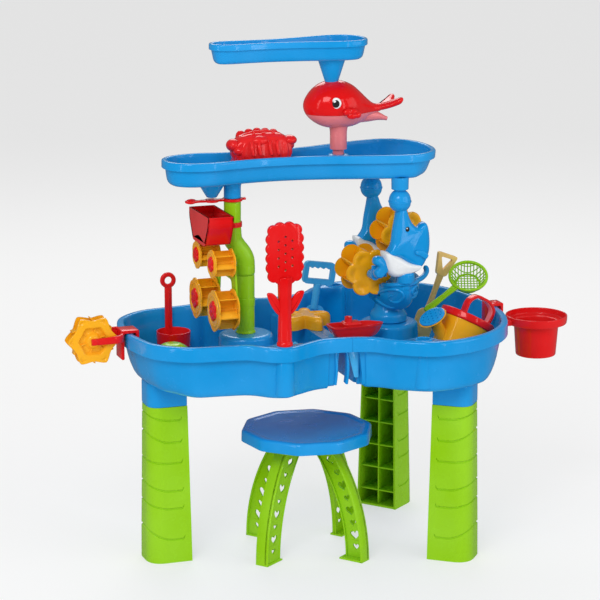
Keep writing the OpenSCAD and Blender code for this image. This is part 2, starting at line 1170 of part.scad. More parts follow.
// A curved plate with heart-shaped holes and a flange along its outer edge.
module stool_leg() {
    arc_r = 300;
    foot_x = 118;
    top_z = seat_z - 31;
    depth = 40;
    rotate([90, 0, 0]) {
        linear_extrude(3)
            difference() {
                leg_strip(arc_r, foot_x, top_z, depth);
                for (z = [30:30:150])
                    translate([foot_x - arc_r + sqrt(pow(arc_r - depth / 2, 2) - z * z), z])
                        heart(6);
            }
        translate([0, 0, -20])
            linear_extrude(23)
                leg_strip(arc_r, foot_x, top_z, 3);
    }
}

// The part of a ring, seen from the side, between the floor and the frame.
module leg_strip(arc_r, foot_x, top_z, depth) {
    intersection() {
        translate([foot_x - arc_r, 0])
            difference() {
                circle(r = arc_r, $fn = 96);
                circle(r = arc_r - depth, $fn = 96);
            }
        translate([14, 0])
            square([200, top_z]);
    }
}

module heart(r) {
    for (s = [-1, 1])
        translate([s * r * 0.6, 0])
            circle(r = r * 0.72, $fn = 20);
    rotate([0, 0, 45])
        square([r * 1.2, r * 1.2], center = true);
}

module turned_stool_leg(angle) {
    color(green)
        at_stool()
            rotate([0, 0, angle])
                stool_leg();
}

module stool_leg_front_left() {
    turned_stool_leg(225);
}

module stool_leg_front_right() {
    turned_stool_leg(315);
}

module stool_leg_back_left() {
    turned_stool_leg(135);
}

module stool_leg_back_right() {
    turned_stool_leg(45);
}

basin_left();
basin_right();
leg_left();
leg_front();
leg_back();
column_lower();
column_upper();
gate_lever();
wheel_bracket();
hopper();
wheel_upper_front();
wheel_upper_back();
wheel_lower_front();
wheel_lower_back();
cap_upper_front();
cap_upper_back();
cap_lower_front();
cap_lower_back();
mid_tray();
wave_base();
dolphin_front();
dolphin_back();
belly_front();
belly_back();
dolphin_eyes();
flower_wheel_upper();
flower_wheel_lower();
axle_upper();
axle_lower();
whale_upper();
whale_lower();
whale_eyes();
top_tray();
crab_mould();
rim_bracket();
rim_wheel();
rim_axle();
cup();
flower_shovel();
scoop();
dome_mould();
shell_mould();
star_mould();
boat_hull();
boat_cabin();
blue_shovel();
tan_shovel();
sieve();
can_body();
can_rim();
can_rose();
stool_seat();
stool_frame();
stool_leg_front_left();
stool_leg_front_right();
stool_leg_back_left();
stool_leg_back_right();
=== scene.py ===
"""Sand and water table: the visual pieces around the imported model, in metres, in the model's frame."""
import logging
import math
from dataclasses import dataclass, field
from enum import Enum
from typing import Callable, Iterable, Sequence

import bmesh
import bpy
import numpy as np
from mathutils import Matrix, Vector
from mathutils.geometry import tessellate_polygon


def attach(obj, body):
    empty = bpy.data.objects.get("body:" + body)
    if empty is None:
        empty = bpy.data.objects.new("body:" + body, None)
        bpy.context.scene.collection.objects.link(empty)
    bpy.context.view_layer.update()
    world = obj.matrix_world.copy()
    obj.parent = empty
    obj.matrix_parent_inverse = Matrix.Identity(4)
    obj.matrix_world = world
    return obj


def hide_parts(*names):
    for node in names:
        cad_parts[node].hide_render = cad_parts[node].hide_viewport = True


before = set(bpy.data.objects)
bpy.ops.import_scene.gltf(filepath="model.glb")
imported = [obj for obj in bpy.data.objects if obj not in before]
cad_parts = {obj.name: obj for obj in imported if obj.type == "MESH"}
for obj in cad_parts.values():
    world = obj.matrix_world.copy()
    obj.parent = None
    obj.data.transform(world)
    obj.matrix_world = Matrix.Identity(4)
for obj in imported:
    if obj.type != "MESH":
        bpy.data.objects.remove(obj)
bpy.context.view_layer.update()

logging.basicConfig(level=logging.INFO, format="%(message)s")
log = logging.getLogger("table")

MM = 0.001
ENDS = ((-1, "front"), (1, "back"))
SHARP = math.radians(38)
Array = np.ndarray
Point = Sequence[float]


# ---- shapes on grids ----

@dataclass
class Shell:
    """Vertices in millimetres and the faces between them."""

    verts: Array
    faces: list

    def moved(self, shift: Point) -> "Shell":
        """The shell shifted by a vector."""
        return Shell(self.verts + np.asarray(shift, float), self.faces)

    def turned(self, axis: str, degrees: float) -> "Shell":
        """The shell turned about the X, Y or Z axis through the origin.

        Args:
            axis: "x", "y" or "z".
            degrees: The angle, right-handed.

        Returns:
            The turned shell.
        """
        c, s = math.cos(math.radians(degrees)), math.sin(math.radians(degrees))
        i, j = {"x": (1, 2), "y": (2, 0), "z": (0, 1)}[axis]
        out = self.verts.copy()
        out[:, i] = c * self.verts[:, i] - s * self.verts[:, j]
        out[:, j] = s * self.verts[:, i] + c * self.verts[:, j]
        return Shell(out, self.faces)

    def scaled(self, x: float, y: float, z: float) -> "Shell":
        """The shell stretched along the three axes."""
        return Shell(self.verts * np.array([x, y, z]), self.faces)


def join(*shells: Shell) -> Shell:
    """All shells as one, with the faces renumbered."""
    starts = np.cumsum([0] + [len(s.verts) for s in shells])
    faces = [[i + k for i in f] for s, k in zip(shells, starts) for f in s.faces]
    return Shell(np.vstack([s.verts for s in shells]), faces)


def grid(points: Array, wrap: bool = True, caps: tuple = (True, True)) -> Shell:
    """Quads between the rows and columns of a grid of points.

    Args:
        points: Array of rows x columns x 3.
        wrap: Joins the last column to the first.
        caps: Closes the first row and the last row with one face each.

    Returns:
        The surface.
    """
    rows, cols = points.shape[:2]
    index = np.arange(rows * cols).reshape(rows, cols)
    here = index if wrap else index[:, :-1]
    beside = np.roll(index, -1, 1) if wrap else index[:, 1:]
    quads = np.stack([here[:-1], beside[:-1], beside[1:], here[1:]], -1).reshape(-1, 4)
    faces = quads.tolist()
    if caps[0]:
        faces.append(index[0, ::-1].tolist())
    if caps[1]:
        faces.append(index[-1].tolist())
    return Shell(points.reshape(-1, 3).astype(float), faces)


def curve_through(points: Iterable, steps: int = 6, closed: bool = True) -> Array:
    """A Catmull-Rom curve: each stretch is a cubic that leaves a point along its neighbours' chord.

    Args:
        points: Points of two or three numbers.
        steps: Points per stretch.
        closed: Joins the end to the start.

    Returns:
        The curve's points.
    """
    p = np.asarray(points, float)
    if closed:
        a, b, c, d = np.roll(p, 1, 0), p, np.roll(p, -1, 0), np.roll(p, -2, 0)
    else:
        longer = np.vstack([2 * p[0] - p[1], p, 2 * p[-1] - p[-2]])
        a, b, c, d = longer[:-3], longer[1:-2], longer[2:-1], longer[3:]
    t = (np.arange(steps) / steps)[None, :, None]
    a, b, c, d = (q[:, None, :] for q in (a, b, c, d))
    out = 0.5 * (2 * b + (c - a) * t + (2 * a - 5 * b + 4 * c - d) * t**2
                 + (3 * b - a - 3 * c + d) * t**3)
    out = out.reshape(-1, p.shape[1])
    return out if closed else np.vstack([out, p[-1:]])


def evenly(ring: Array, count: int) -> Array:
    """A closed ring with its points spread evenly along its length."""
    closed = np.vstack([ring, ring[:1]])
    along = np.r_[0, np.cumsum(np.linalg.norm(np.diff(closed, axis=0), axis=1))]
    want = np.linspace(0, along[-1], count, endpoint=False)
    return np.stack([np.interp(want, along, closed[:, k]) for k in range(ring.shape[1])], 1)


def inward(ring: Array) -> Array:
    """Unit normals of a closed flat ring that point to its inside."""
    t = np.roll(ring, -1, 0) - np.roll(ring, 1, 0)
    n = np.c_[-t[:, 1], t[:, 0]] / np.linalg.norm(t, axis=1, keepdims=True)
    x, y = ring.T
    area = np.sum(x * np.roll(y, -1) - y * np.roll(x, -1))
    return n if area > 0 else -n


def room_inside(ring: Array, n: Array, most: float) -> Array:
    """How far each point of a closed outline can move inwards before it meets the other side.

    Args:
        ring: (n, 2) outline points, evenly spaced.
        n: the inward direction at each point.
        most: the largest distance asked for.

    Returns:
        (n,) distances, smoothed along the outline.
    """
    gap = ring[None] - ring[:, None]
    along = np.einsum("ijk,ik->ij", gap, n)
    size = (gap**2).sum(-1)
    radius = np.where(along > 1e-4, size / np.maximum(2 * along, 1e-4), 1e6)
    room = np.minimum(radius.min(1) * 0.82, most)
    turns = np.stack([np.roll(room, k) for k in range(-4, 5)])
    least = turns.min(0)
    return np.stack([np.roll(least, k) for k in range(-4, 5)]).mean(0)


def rounded(corners: Sequence, steps: int = 5) -> Array:
    """A line through corners (a, b, radius), each corner replaced by a quadratic arc.

    Args:
        corners: Two coordinates and how far from the corner its arc starts.
        steps: Points per arc.

    Returns:
        The line's points.
    """
    p = np.array([c[:2] for c in corners], float)
    out = []
    for i, corner in enumerate(corners):
        r = corner[2] if len(corner) > 2 and 0 < i < len(corners) - 1 else 0
        if r == 0:
            out.append(p[i:i + 1])
            continue
        back, on = p[i - 1] - p[i], p[i + 1] - p[i]
        start = p[i] + back * min(r / np.linalg.norm(back), 0.5)
        end = p[i] + on * min(r / np.linalg.norm(on), 0.5)
        t = np.linspace(0, 1, steps)[:, None]
        out.append((1 - t)**2 * start + 2 * t * (1 - t) * p[i] + t**2 * end)
    return np.vstack(out)


def full_turn(count: int) -> Array:
    """That many angles evenly round a circle, the first at 0 and the last short of a full turn."""
    return np.linspace(0, 2 * np.pi, count, endpoint=False)


def polar(radius: Array, angle: Array, height: Array) -> Array:
    """Points whose x and y are the radius times the angle's cosine and sine, at the height."""
    return np.stack([radius * np.cos(angle), radius * np.sin(angle), height], -1)


def unit_ring(angle: Array) -> Array:
    """Points on the unit circle: each angle's cosine and sine."""
    return np.stack([np.cos(angle), np.sin(angle)], 1)


def levels(ring: Array, share: Array, height: Array) -> Array:
    """One copy of a flat ring for each level: its x and y times the level's share, at its height.

    Args:
        ring: The ring's x and y, one point a row.
        share: Each level's share of the ring's size, as a column.
        height: Each level's height, as a column.

    Returns:
        The points, level by level.
    """
    return np.concatenate([ring[None] * share[:, None], np.repeat(height[:, None], len(ring), 1)], -1)


def circle(radius: float, count: int = 48) -> Array:
    """Points of a circle round the origin."""
    a = full_turn(count)
    return unit_ring(a) * radius


def petals(radius: float, depth: float, lobes: int = 6, count: int = 120) -> Array:
    """A flower outline: the radius swells and shrinks with the angle, sharper between the petals."""
    a = full_turn(count)
    r = radius - depth * (1 - np.abs(np.cos(a * lobes / 2))**0.8)
    return unit_ring(a) * r[:, None]


def smooth(t: Array) -> Array:
    """The smooth step from 0 to 1: three t squared less two t cubed."""
    t = np.clip(t, 0, 1)
    return t * t * (3 - 2 * t)


def revolve(profile: Sequence, count: int = 64, steps: int = 5) -> Shell:
    """A profile of (radius, height, corner radius) carried round Z; ends on the axis are closed."""
    line = rounded(profile, steps)
    a = full_turn(count)
    r = np.maximum(line[:, :1], 1e-4)
    points = polar(r, a, np.repeat(line[:, 1:2], count, 1))
    closed = tuple(bool(line[k, 0] < 0.01) for k in (0, -1))
    return grid(points, caps=closed)


def lathe_ring(profile: Sequence, count: int = 64, steps: int = 4) -> Shell:
    """A closed profile of (radius, height, corner radius) carried round Z, such as a tube's wall."""
    first = profile[0][:2]
    line = rounded([(*first, 0), *profile[1:], (*first, 0)], steps)[:-1]
    a = full_turn(count)
    points = np.stack([line[:, :1] * np.cos(a), line[:, :1] * np.sin(a),
                       np.repeat(line[:, 1:2], count, 1)], -1)
    return grid(np.concatenate([points, points[:1]]), caps=(False, False))


def sweep(path: Array, section: Array | float, sizes: Array | float = 1.0, sides: int = 24,
          up: Point = (0, 0, 1)) -> Shell:
    """A section carried along a path, kept upright to one direction.

    Args:
        path: The points of the centre line.
        section: A ring of (sideways, upwards) points, or a radius.
        sizes: The section's scale along the path: one number, one per point, or two per point.
        sides: Points of the circle if the section is a radius.
        up: The direction that the section's second coordinate leans to.

    Returns:
        The closed tube.
    """
    path = np.asarray(path, float)
    ring = circle(section, sides) if np.isscalar(section) else np.asarray(section, float)
    t = np.gradient(path, axis=0)
    t /= np.linalg.norm(t, axis=1, keepdims=True)
    side = np.cross(t, np.asarray(up, float))
    side /= np.linalg.norm(side, axis=1, keepdims=True)
    top = np.cross(side, t)
    size = np.asarray(sizes, float)
    if size.ndim < 2:
        size = np.repeat(np.broadcast_to(size, len(path))[:, None], 2, 1)
    points = (path[:, None, :]
              + ring[None, :, :1] * size[:, None, :1] * side[:, None, :]
              + ring[None, :, 1:] * size[:, None, 1:] * top[:, None, :])
    return grid(points)


def round_ends(count: int, ease: float = 0.12) -> Array:
    """Sizes along a path that swell as a quarter ellipse from each end to 1."""
    s = np.linspace(0, 1, count)
    end = np.clip(np.minimum(s, 1 - s) / ease, 0, 1)
    return np.maximum(np.sqrt(1 - (1 - end)**2), 0.02)


def slab(ring: Array, low: float, high: float, edge: float = 1.0, steps: int = 4) -> Shell:
    """A flat outline given thickness, its edges rounded by insetting the ring as the height turns."""
    ring = np.asarray(ring, float)
    n = inward(ring)
    a = np.linspace(0, np.pi / 2, steps)
    inset = np.r_[edge * (1 - np.sin(a)), edge * (1 - np.cos(a))]
    level = np.r_[low + edge * (1 - np.cos(a)), high - edge * (1 - np.sin(a))]
    flat = ring[None] + n[None] * inset[:, None, None]
    points = np.concatenate([flat, np.repeat(level[:, None, None], len(ring), 1)], -1)
    return grid(points)


def plate(outer: Array, holes: Sequence, low: float, high: float) -> Shell:
    """A flat plate with holes: filled above and below, with a wall along each outline."""
    rings = [np.asarray(r, float) for r in (outer, *holes)]
    flat = np.vstack(rings)
    loops = [[Vector((x, y, 0)) for x, y in ring] for ring in rings]
    tris = [list(t) for t in tessellate_polygon(loops)]
    count = len(flat)
    verts = np.vstack([np.c_[flat, np.full(count, low)], np.c_[flat, np.full(count, high)]])
    faces = [t[::-1] for t in tris] + [[i + count for i in t] for t in tris]
    start = 0
    for ring in rings:
        i = np.arange(len(ring))
        j = np.roll(i, -1)
        walls = np.stack([i + start, j + start, j + start + count, i + start + count], 1)
        faces += walls.tolist()
        start += len(ring)
    return Shell(verts, faces)


def block(low: Point, high: Point, edge: float = 0.8) -> Shell:
    """A box between two corners, with rounded upright and level edges."""
    x0, y0, z0 = low
    x1, y1, z1 = high
    r = min(edge, (x1 - x0) / 2.1, (y1 - y0) / 2.1, (z1 - z0) / 2.1)
    corners = [(x0, y0), (x1, y0), (x1, y1), (x0, y1)]
    return slab(round_corners(corners, 1.6 * r), z0, z1, r, 3)


def round_corners(corners: Sequence, radius: float, steps: int = 4) -> Array:
    """A closed polygon whose corners are quadratic arcs, with no point repeated."""
    p = np.asarray(corners, float)
    mid = (p[-1] + p[0]) / 2
    line = rounded([(*mid, 0), *[(*q, radius) for q in p], (*mid, 0)], steps)[:-1]
    keep = np.linalg.norm(line - np.roll(line, 1, 0), axis=1) > 1e-4
    return line[keep]


def ball(centre: Point, radii: Point, power: float = 1.0, rows: int = 24, cols: int = 40) -> Shell:
    """An ellipsoid by its two angles; a power under 1 squares its shoulders."""
    u = np.linspace(0, np.pi, rows)[:, None]
    v = full_turn(cols)[None]

    def bent(w: Array) -> Array:
        """Keeps the sign and raises the size to the power."""
        return np.sign(w) * np.abs(w)**power

    ring = bent(np.maximum(np.sin(u), 1e-4))
    points = np.stack([ring * bent(np.cos(v)) * radii[0], ring * bent(np.sin(v)) * radii[1],
                       np.repeat(-bent(np.cos(u)) * radii[2], cols, 1)], -1)
    return grid(points).moved(centre)


def upright(shell: Shell) -> Shell:
    """A flat piece drawn in X and Y stood up: its Y becomes height and its thickness runs along -Y."""
    return shell.turned("x", 90)


# ---- finishes ----

def linear(red: int, green: int, blue: int) -> tuple:
    """A colour of three numbers from 0 to 255 as linear light."""
    c = np.array([red, green, blue]) / 255
    out = np.where(c <= 0.04045, c / 12.92, ((c + 0.055) / 1.055)**2.4)
    return (*out.tolist(), 1.0)


class Slot(Enum):
    """The record's material slots."""

    BLUE = "blue_plastic"
    SKY = "light_blue_plastic"
    LIME = "lime_plastic"
    RED = "red_plastic"
    PINK = "pink_plastic"
    YELLOW = "yellow_plastic"
    TAN = "tan_plastic"
    WHITE = "white_plastic"
    BLACK = "black_plastic"
    STEEL = "steel_pin"


@dataclass(frozen=True)
class Finish:
    """Moulded plastic: mottled colour, a skin of fine grain, soft sink marks and rubbed patches."""

    slot: Slot
    colour: tuple
    rough: float = 0.26
    mottle: float = 0.1
    grain: float = 0.06
    metal: float = 0.0

    def material(self) -> bpy.types.Material:
        """The finish's material, made once and shared after that."""
        name = f"{self.slot.value}_finish"
        found = bpy.data.materials.get(name)
        if found:
            return found
        made = bpy.data.materials.new(name)
        made.use_nodes = True
        tree = made.node_tree
        shader = tree.nodes["Principled BSDF"]
        shader.inputs["Metallic"].default_value = self.metal
        shader.inputs["IOR"].default_value = 1.5
        shader.inputs["Specular Tint"].default_value = tuple(0.8 * c + 0.2 for c in self.colour[:3]) + (1,)
        shader.inputs["Coat Weight"].default_value = 0.4
        shader.inputs["Coat Roughness"].default_value = 0.07
        place = tree.nodes.new("ShaderNodeTexCoord").outputs["Object"]
        cloud = self.noise(tree, place, 9.0, 3.0)
        self.tint(tree, cloud, shader.inputs["Base Color"])
        rubbed = self.noise(tree, place, 46.0, 6.0)
        self.spread(tree, rubbed, self.rough * 0.72, self.rough * 1.3, shader.inputs["Roughness"])
        sink = self.noise(tree, place, 22.0, 1.0)
        skin = self.noise(tree, place, 1300.0, 2.0)
        low = self.bump(tree, sink, 0.16, 1.2 * MM, None)
        top = self.bump(tree, skin, self.grain, 0.2 * MM, low)
        tree.links.new(top, shader.inputs["Normal"])
        return made

    def noise(self, tree: bpy.types.NodeTree, place: object, scale: float, detail: float) -> object:
        """The factor output of a noise texture at that scale."""
        node = tree.nodes.new("ShaderNodeTexNoise")
        node.inputs["Scale"].default_value = scale
        node.inputs["Detail"].default_value = detail
        tree.links.new(place, node.inputs["Vector"])
        return node.outputs["Fac"]

    def tint(self, tree: bpy.types.NodeTree, cloud: object, socket: object) -> None:
        """Runs the colour from a shade deeper to a shade paler as the cloud rises."""
        ramp = tree.nodes.new("ShaderNodeValToRGB")
        deep = tuple(c * (1 - self.mottle) for c in self.colour[:3])
        pale = tuple(c + (1 - c) * self.mottle * 0.22 for c in self.colour[:3])
        ramp.color_ramp.elements[0].position = 0.3
        ramp.color_ramp.elements[0].color = (*deep, 1)
        ramp.color_ramp.elements[1].position = 0.72
        ramp.color_ramp.elements[1].color = (*pale, 1)
        tree.links.new(cloud, ramp.inputs["Fac"])
        tree.links.new(ramp.outputs["Color"], socket)

    def spread(self, tree: bpy.types.NodeTree, source: object, low: float, high: float,
               socket: object) -> None:
        """Maps the middle of a noise to the range low to high."""
        node = tree.nodes.new("ShaderNodeMapRange")
        node.inputs["From Min"].default_value = 0.3
        node.inputs["From Max"].default_value = 0.7
        node.inputs["To Min"].default_value = low
        node.inputs["To Max"].default_value = high
        tree.links.new(source, node.inputs["Value"])
        tree.links.new(node.outputs["Result"], socket)

    def bump(self, tree: bpy.types.NodeTree, height: object, strength: float, distance: float,
             under: object | None) -> object:
        """A bump of that height laid over another."""
        node = tree.nodes.new("ShaderNodeBump")
        node.inputs["Strength"].default_value = strength
        node.inputs["Distance"].default_value = distance
        tree.links.new(height, node.inputs["Height"])
        if under is not None:
            tree.links.new(under, node.inputs["Normal"])
        return node.outputs["Normal"]


BLUE = Finish(Slot.BLUE, linear(0, 150, 222), 0.22)
SKY = Finish(Slot.SKY, linear(66, 180, 236), 0.28)
LIME = Finish(Slot.LIME, linear(148, 208, 0), 0.26)
RED = Finish(Slot.RED, linear(226, 2, 6), 0.2)
PINK = Finish(Slot.PINK, linear(236, 128, 132), 0.26)
YELLOW = Finish(Slot.YELLOW, linear(250, 176, 8), 0.24)
TAN = Finish(Slot.TAN, linear(248, 208, 122), 0.32)
WHITE = Finish(Slot.WHITE, linear(240, 242, 242), 0.28)
BLACK = Finish(Slot.BLACK, linear(14, 14, 18), 0.16, mottle=0.3)
STEEL = Finish(Slot.STEEL, linear(190, 194, 198), 0.3, metal=1.0)


@dataclass
class Maker:
    """Puts shells into the scene on one body."""

    body: str

    def put(self, name: str, shell: Shell, finish: Finish, stands_for: Sequence = (),
            bevel: float = 0.0, weld: float = 0.004) -> bpy.types.Object:
        """Makes a piece of a shell, closed, facing outwards, smooth but for its sharp edges.

        Args:
            name: The piece's name.
            shell: Its surface in millimetres.
            finish: Its plastic.
            stands_for: The CAD nodes that it replaces.
            bevel: The width of a rounded edge in millimetres, or none.
            weld: Points closer than this many millimetres become one.

        Returns:
            The piece.
        """
        mesh = bpy.data.meshes.new(name)
        mesh.from_pydata((shell.verts * MM).tolist(), [], shell.faces)
        work = bmesh.new()
        work.from_mesh(mesh)
        bmesh.ops.remove_doubles(work, verts=work.verts, dist=weld * MM)
        bmesh.ops.recalc_face_normals(work, faces=work.faces)
        work.to_mesh(mesh)
        work.free()
        return self.adopt(name, mesh, finish, stands_for, bevel)

    def adopt(self, name: str, mesh: bpy.types.Mesh, finish: Finish, stands_for: Sequence = (),
              bevel: float = 0.0) -> bpy.types.Object:
        """Makes a piece of a finished mesh; the values are those of put."""
        mesh.polygons.foreach_set("use_smooth", np.ones(len(mesh.polygons), bool))
        mesh.set_sharp_from_angle(angle=SHARP)
        mesh.materials.clear()
        mesh.materials.append(finish.material())
        piece = bpy.data.objects.new(name, mesh)
        bpy.context.scene.collection.objects.link(piece)
        if bevel:
            edge = piece.modifiers.new("edge", "BEVEL")
            edge.width = bevel * MM
            edge.segments = 2
            edge.limit_method = "ANGLE"
            edge.angle_limit = SHARP
            edge.harden_normals = False
        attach(piece, self.body)
        if stands_for:
            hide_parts(*stands_for)
        log.info("%s: %d faces on %s", name, len(mesh.polygons), self.body)
        return piece

    def dress(self, node: str, finish: Finish) -> None:
        """Gives a CAD node that stays its finish."""
        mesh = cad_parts[node].data
        mesh.materials.clear()
        mesh.materials.append(finish.material())


def cut_holes(shell: Shell, cutters: Sequence, name: str, clip: float | None = None,
              side: float = 1.0) -> bpy.types.Mesh:
    """A shell with shapes taken out, and cut off at a plane across X if one is given.

    Args:
        shell: The closed surface in millimetres.
        cutters: The shapes that are taken out.
        name: The new mesh's name.
        clip: Where along X the plane stands.
        side: 1 keeps what is beyond the plane, -1 what is before it.

    Returns:
        The mesh, in metres.
    """
    def linked(label: str, form: Shell, cut: bool) -> bpy.types.Object:
        """A scratch object of a shell, cut at the plane if asked."""
        mesh = bpy.data.meshes.new(label)
        mesh.from_pydata((form.verts * MM).tolist(), [], form.faces)
        work = bmesh.new()
        work.from_mesh(mesh)
        bmesh.ops.remove_doubles(work, verts=work.verts, dist=0.004 * MM)
        bmesh.ops.recalc_face_normals(work, faces=work.faces)
        if cut:
            done = bmesh.ops.bisect_plane(
                work, geom=work.verts[:] + work.edges[:] + work.faces[:], dist=1e-7,
                plane_co=(clip * MM, 0, 0), plane_no=(side, 0, 0), clear_inner=True)
            rim = [e for e in done["geom_cut"] if isinstance(e, bmesh.types.BMEdge)]
            bmesh.ops.holes_fill(work, edges=rim, sides=0)
            bmesh.ops.recalc_face_normals(work, faces=work.faces)
        work.to_mesh(mesh)
        work.free()
        made = bpy.data.objects.new(label, mesh)
        bpy.context.scene.collection.objects.link(made)
        return made

    base = linked(name, shell, clip is not None)
    tool = linked("cutter", join(*cutters), False)
    change = base.modifiers.new("cut", "BOOLEAN")
    change.operation = "DIFFERENCE"
    change.solver = "EXACT"
    change.object = tool
    graph = bpy.context.evaluated_depsgraph_get()
    out = bpy.data.meshes.new_from_object(base.evaluated_get(graph))
    out.name = name
    for scratch in (base, tool):
        bpy.data.objects.remove(scratch)
    return out


# ---- the big moulded pieces ----

def both_sides(half: Sequence) -> Array:
    """The points of one side, then their mirror images in the X axis in reverse."""
    p = np.asarray(half, float)
    other = p[::-1][p[::-1][:, 1] > 0] * [1, -1]
    return np.vstack([p, other])


def inset_rows(ring: Array, inset: Array, firm: float = 9.0) -> Array:
    """Copies of a ring moved inwards, the far part of the move along normals that turn slowly.

    Args:
        ring: The outline's points.
        inset: Rows x points of how far each moves.
        firm: Up to here a point moves along its own normal.

    Returns:
        Rows x points x 2.
    """
    n = inward(ring)
    kernel = np.hanning(len(ring) // 9 | 1)
    half = len(kernel) // 2
    padded = np.vstack([n[-half:], n, n[:half]])
    slow = np.stack([np.convolve(padded[:, k], kernel, "valid") for k in (0, 1)], 1)
    slow /= np.linalg.norm(slow, axis=1, keepdims=True)
    near = np.minimum(inset, firm)[..., None]
    return ring[None] + n[None] * near + slow[None] * (inset[..., None] - near)


@dataclass
class Basin(Maker):
    """The lobed basin in two halves, with its sockets, pedestals and leg collars."""

    body: str = "table"
    rim: float = 377.0
    floor: float = 293.0
    band: float = 23.0
    wall: float = 3.0
    hump: float = 354.0
    hump_half: float = 18.5
    notch_x: float = -7.0
    socket_r: float = 10.5
    sockets: tuple = ((-116.0, 170.0), (102.0, 200.0))
    pedestals: tuple = ((-123.0, 44.0), (122.0, 48.0))
    pedestal_z: float = 360.0
    half: tuple = ((-325, 0), (-323, 35), (-307, 95), (-262, 135), (-207, 145), (-170, 152),
                   (-142, 177), (-110, 187), (-80, 172), (-38, 154), (25, 166), (60, 199),
                   (105, 226), (150, 227), (195, 213), (237, 184), (273, 137), (295, 72), (302, 0))
    legs: tuple = ((-262, 0, 180), (180, -150, -39), (180, 150, 39))

    def outline(self) -> Array:
        """The rim's outer edge, evenly spaced."""
        return evenly(curve_through(both_sides(self.half), 8), 560)

    def lip(self, ring: Array, n: Array) -> Array:
        """How far inwards the flat lip reaches: wider where it has to pass behind a socket.

        A ray from the edge along its normal leaves the circle round the socket at the near root
        plus the chord; the lip takes the larger of that and its plain width.
        """
        wide = np.full(len(ring), 11.0)
        for x, y in self.sockets:
            for s in (-1, 1):
                to = np.array([x, s * y]) - ring
                along = np.sum(to * n, 1)
                aside = np.sum(to**2, 1) - along**2
                reach = along + np.sqrt(np.clip(20.0**2 - aside, 0, None))
                wide = np.where((aside < 20.0**2) & (np.abs(along) < 45), np.maximum(wide, reach), wide)
        kernel = np.hanning(17)
        padded = np.r_[wide[-8:], wide, wide[:8]]
        return np.convolve(padded, kernel / kernel.sum(), "valid")

    def shell(self) -> Shell:
        """The whole basin: one profile of (inset, height) carried round the rim.

        The profile blends between a steep wall and a deep round one towards the two ends, the
        floor is lifted to a hump under the join, and the rows end on the long middle line.
        """
        ring = self.outline()
        n = inward(ring)
        lip = self.lip(ring, n) - 11.0
        top, low, t = self.rim, self.floor, self.wall
        under = top - self.band
        steep = rounded([(30, low, 0), (13, low, 14), (9.5, under, 6), (9, top - 5, 2),
                         (3, top - 5, 2), (2.4, under, 1), (0, under, 1), (0, top, 5),
                         (11, top, 3), (12.5, top - 8, 4), (14.5, low + t, 9), (30, low + t, 0)], 7)
        deep = rounded([(60, low, 0), (24, low, 44), (9.5, under, 16), (9, top - 5, 2),
                        (3, top - 5, 2), (2.4, under, 1), (0, under, 1), (0, top, 5),
                        (11, top, 3), (12.5, top - 8, 4), (26, low + t, 40), (62, low + t, 0)], 7)
        x = ring[:, 0]
        ends = smooth((np.abs(x + 10) - 225) / 70)
        profile = steep[:, None] * (1 - ends)[None, :, None] + deep[:, None] * ends[None, :, None]
        inset, z = profile[..., 0], profile[..., 1]
        beyond = inset > 10.8
        inner = beyond & (np.arange(len(steep)) > len(steep) // 2)[:, None]
        inset = inset + np.where(inner, lip[None], 0)
        below = (z < under - 0.5) & ~inner
        gap = smooth((27 - np.abs(x - self.notch_x)) / 8)
        inset = inset + np.where(below, 16 * gap[None] * smooth((under - z) / 6), 0)
        rows = np.concatenate([inset_rows(ring, inset), z[..., None]], -1)

        def towards_middle(row: Array, steps: int) -> Array:
            """Copies of a row drawn in to the X axis."""
            k = np.linspace(1, 0, steps)[1:, None]
            x0, y0, z0 = row.T
            return np.stack([np.repeat(x0[None], steps - 1, 0), y0[None] * k,
                             np.repeat(z0[None], steps - 1, 0)], -1)

        under_rows = towards_middle(rows[0], 7)[::-1]
        floor_rows = towards_middle(rows[-1], 7)
        points = np.concatenate([under_rows, rows, floor_rows])
        px, pz = points[..., 0], points[..., 2]
        lift = smooth((self.hump_half + 2.5 - np.abs(px)) / 5)
        is_floor = np.arange(len(points)) > len(points) // 2
        floor_z = low + t + (self.hump - low - t) * lift
        base_z = low + (self.hump - t - low) * smooth((self.hump_half - 0.5 - np.abs(px)) / 5)
        inside = is_floor[:, None] & (pz < self.hump)
        outside = ~is_floor[:, None] & (pz < self.hump - t)
        pz = np.where(inside, np.maximum(pz, floor_z), pz)
        pz = np.where(outside, np.maximum(pz, base_z), pz)
        points[..., 2] = pz
        return grid(points, caps=(False, False))

    def drop(self, x: float, y: float) -> Shell:
        """A socket's lined hole, with a low bead round its mouth."""
        r = self.socket_r
        return lathe_ring([(r, 319, 0), (r, self.rim + 0.4, 1.2), (r + 2, self.rim + 1, 0.8),
                           (r + 4, self.rim - 1, 1), (r + 4.5, 300, 0), (r, 300, 0)]).moved((x, y, 0))

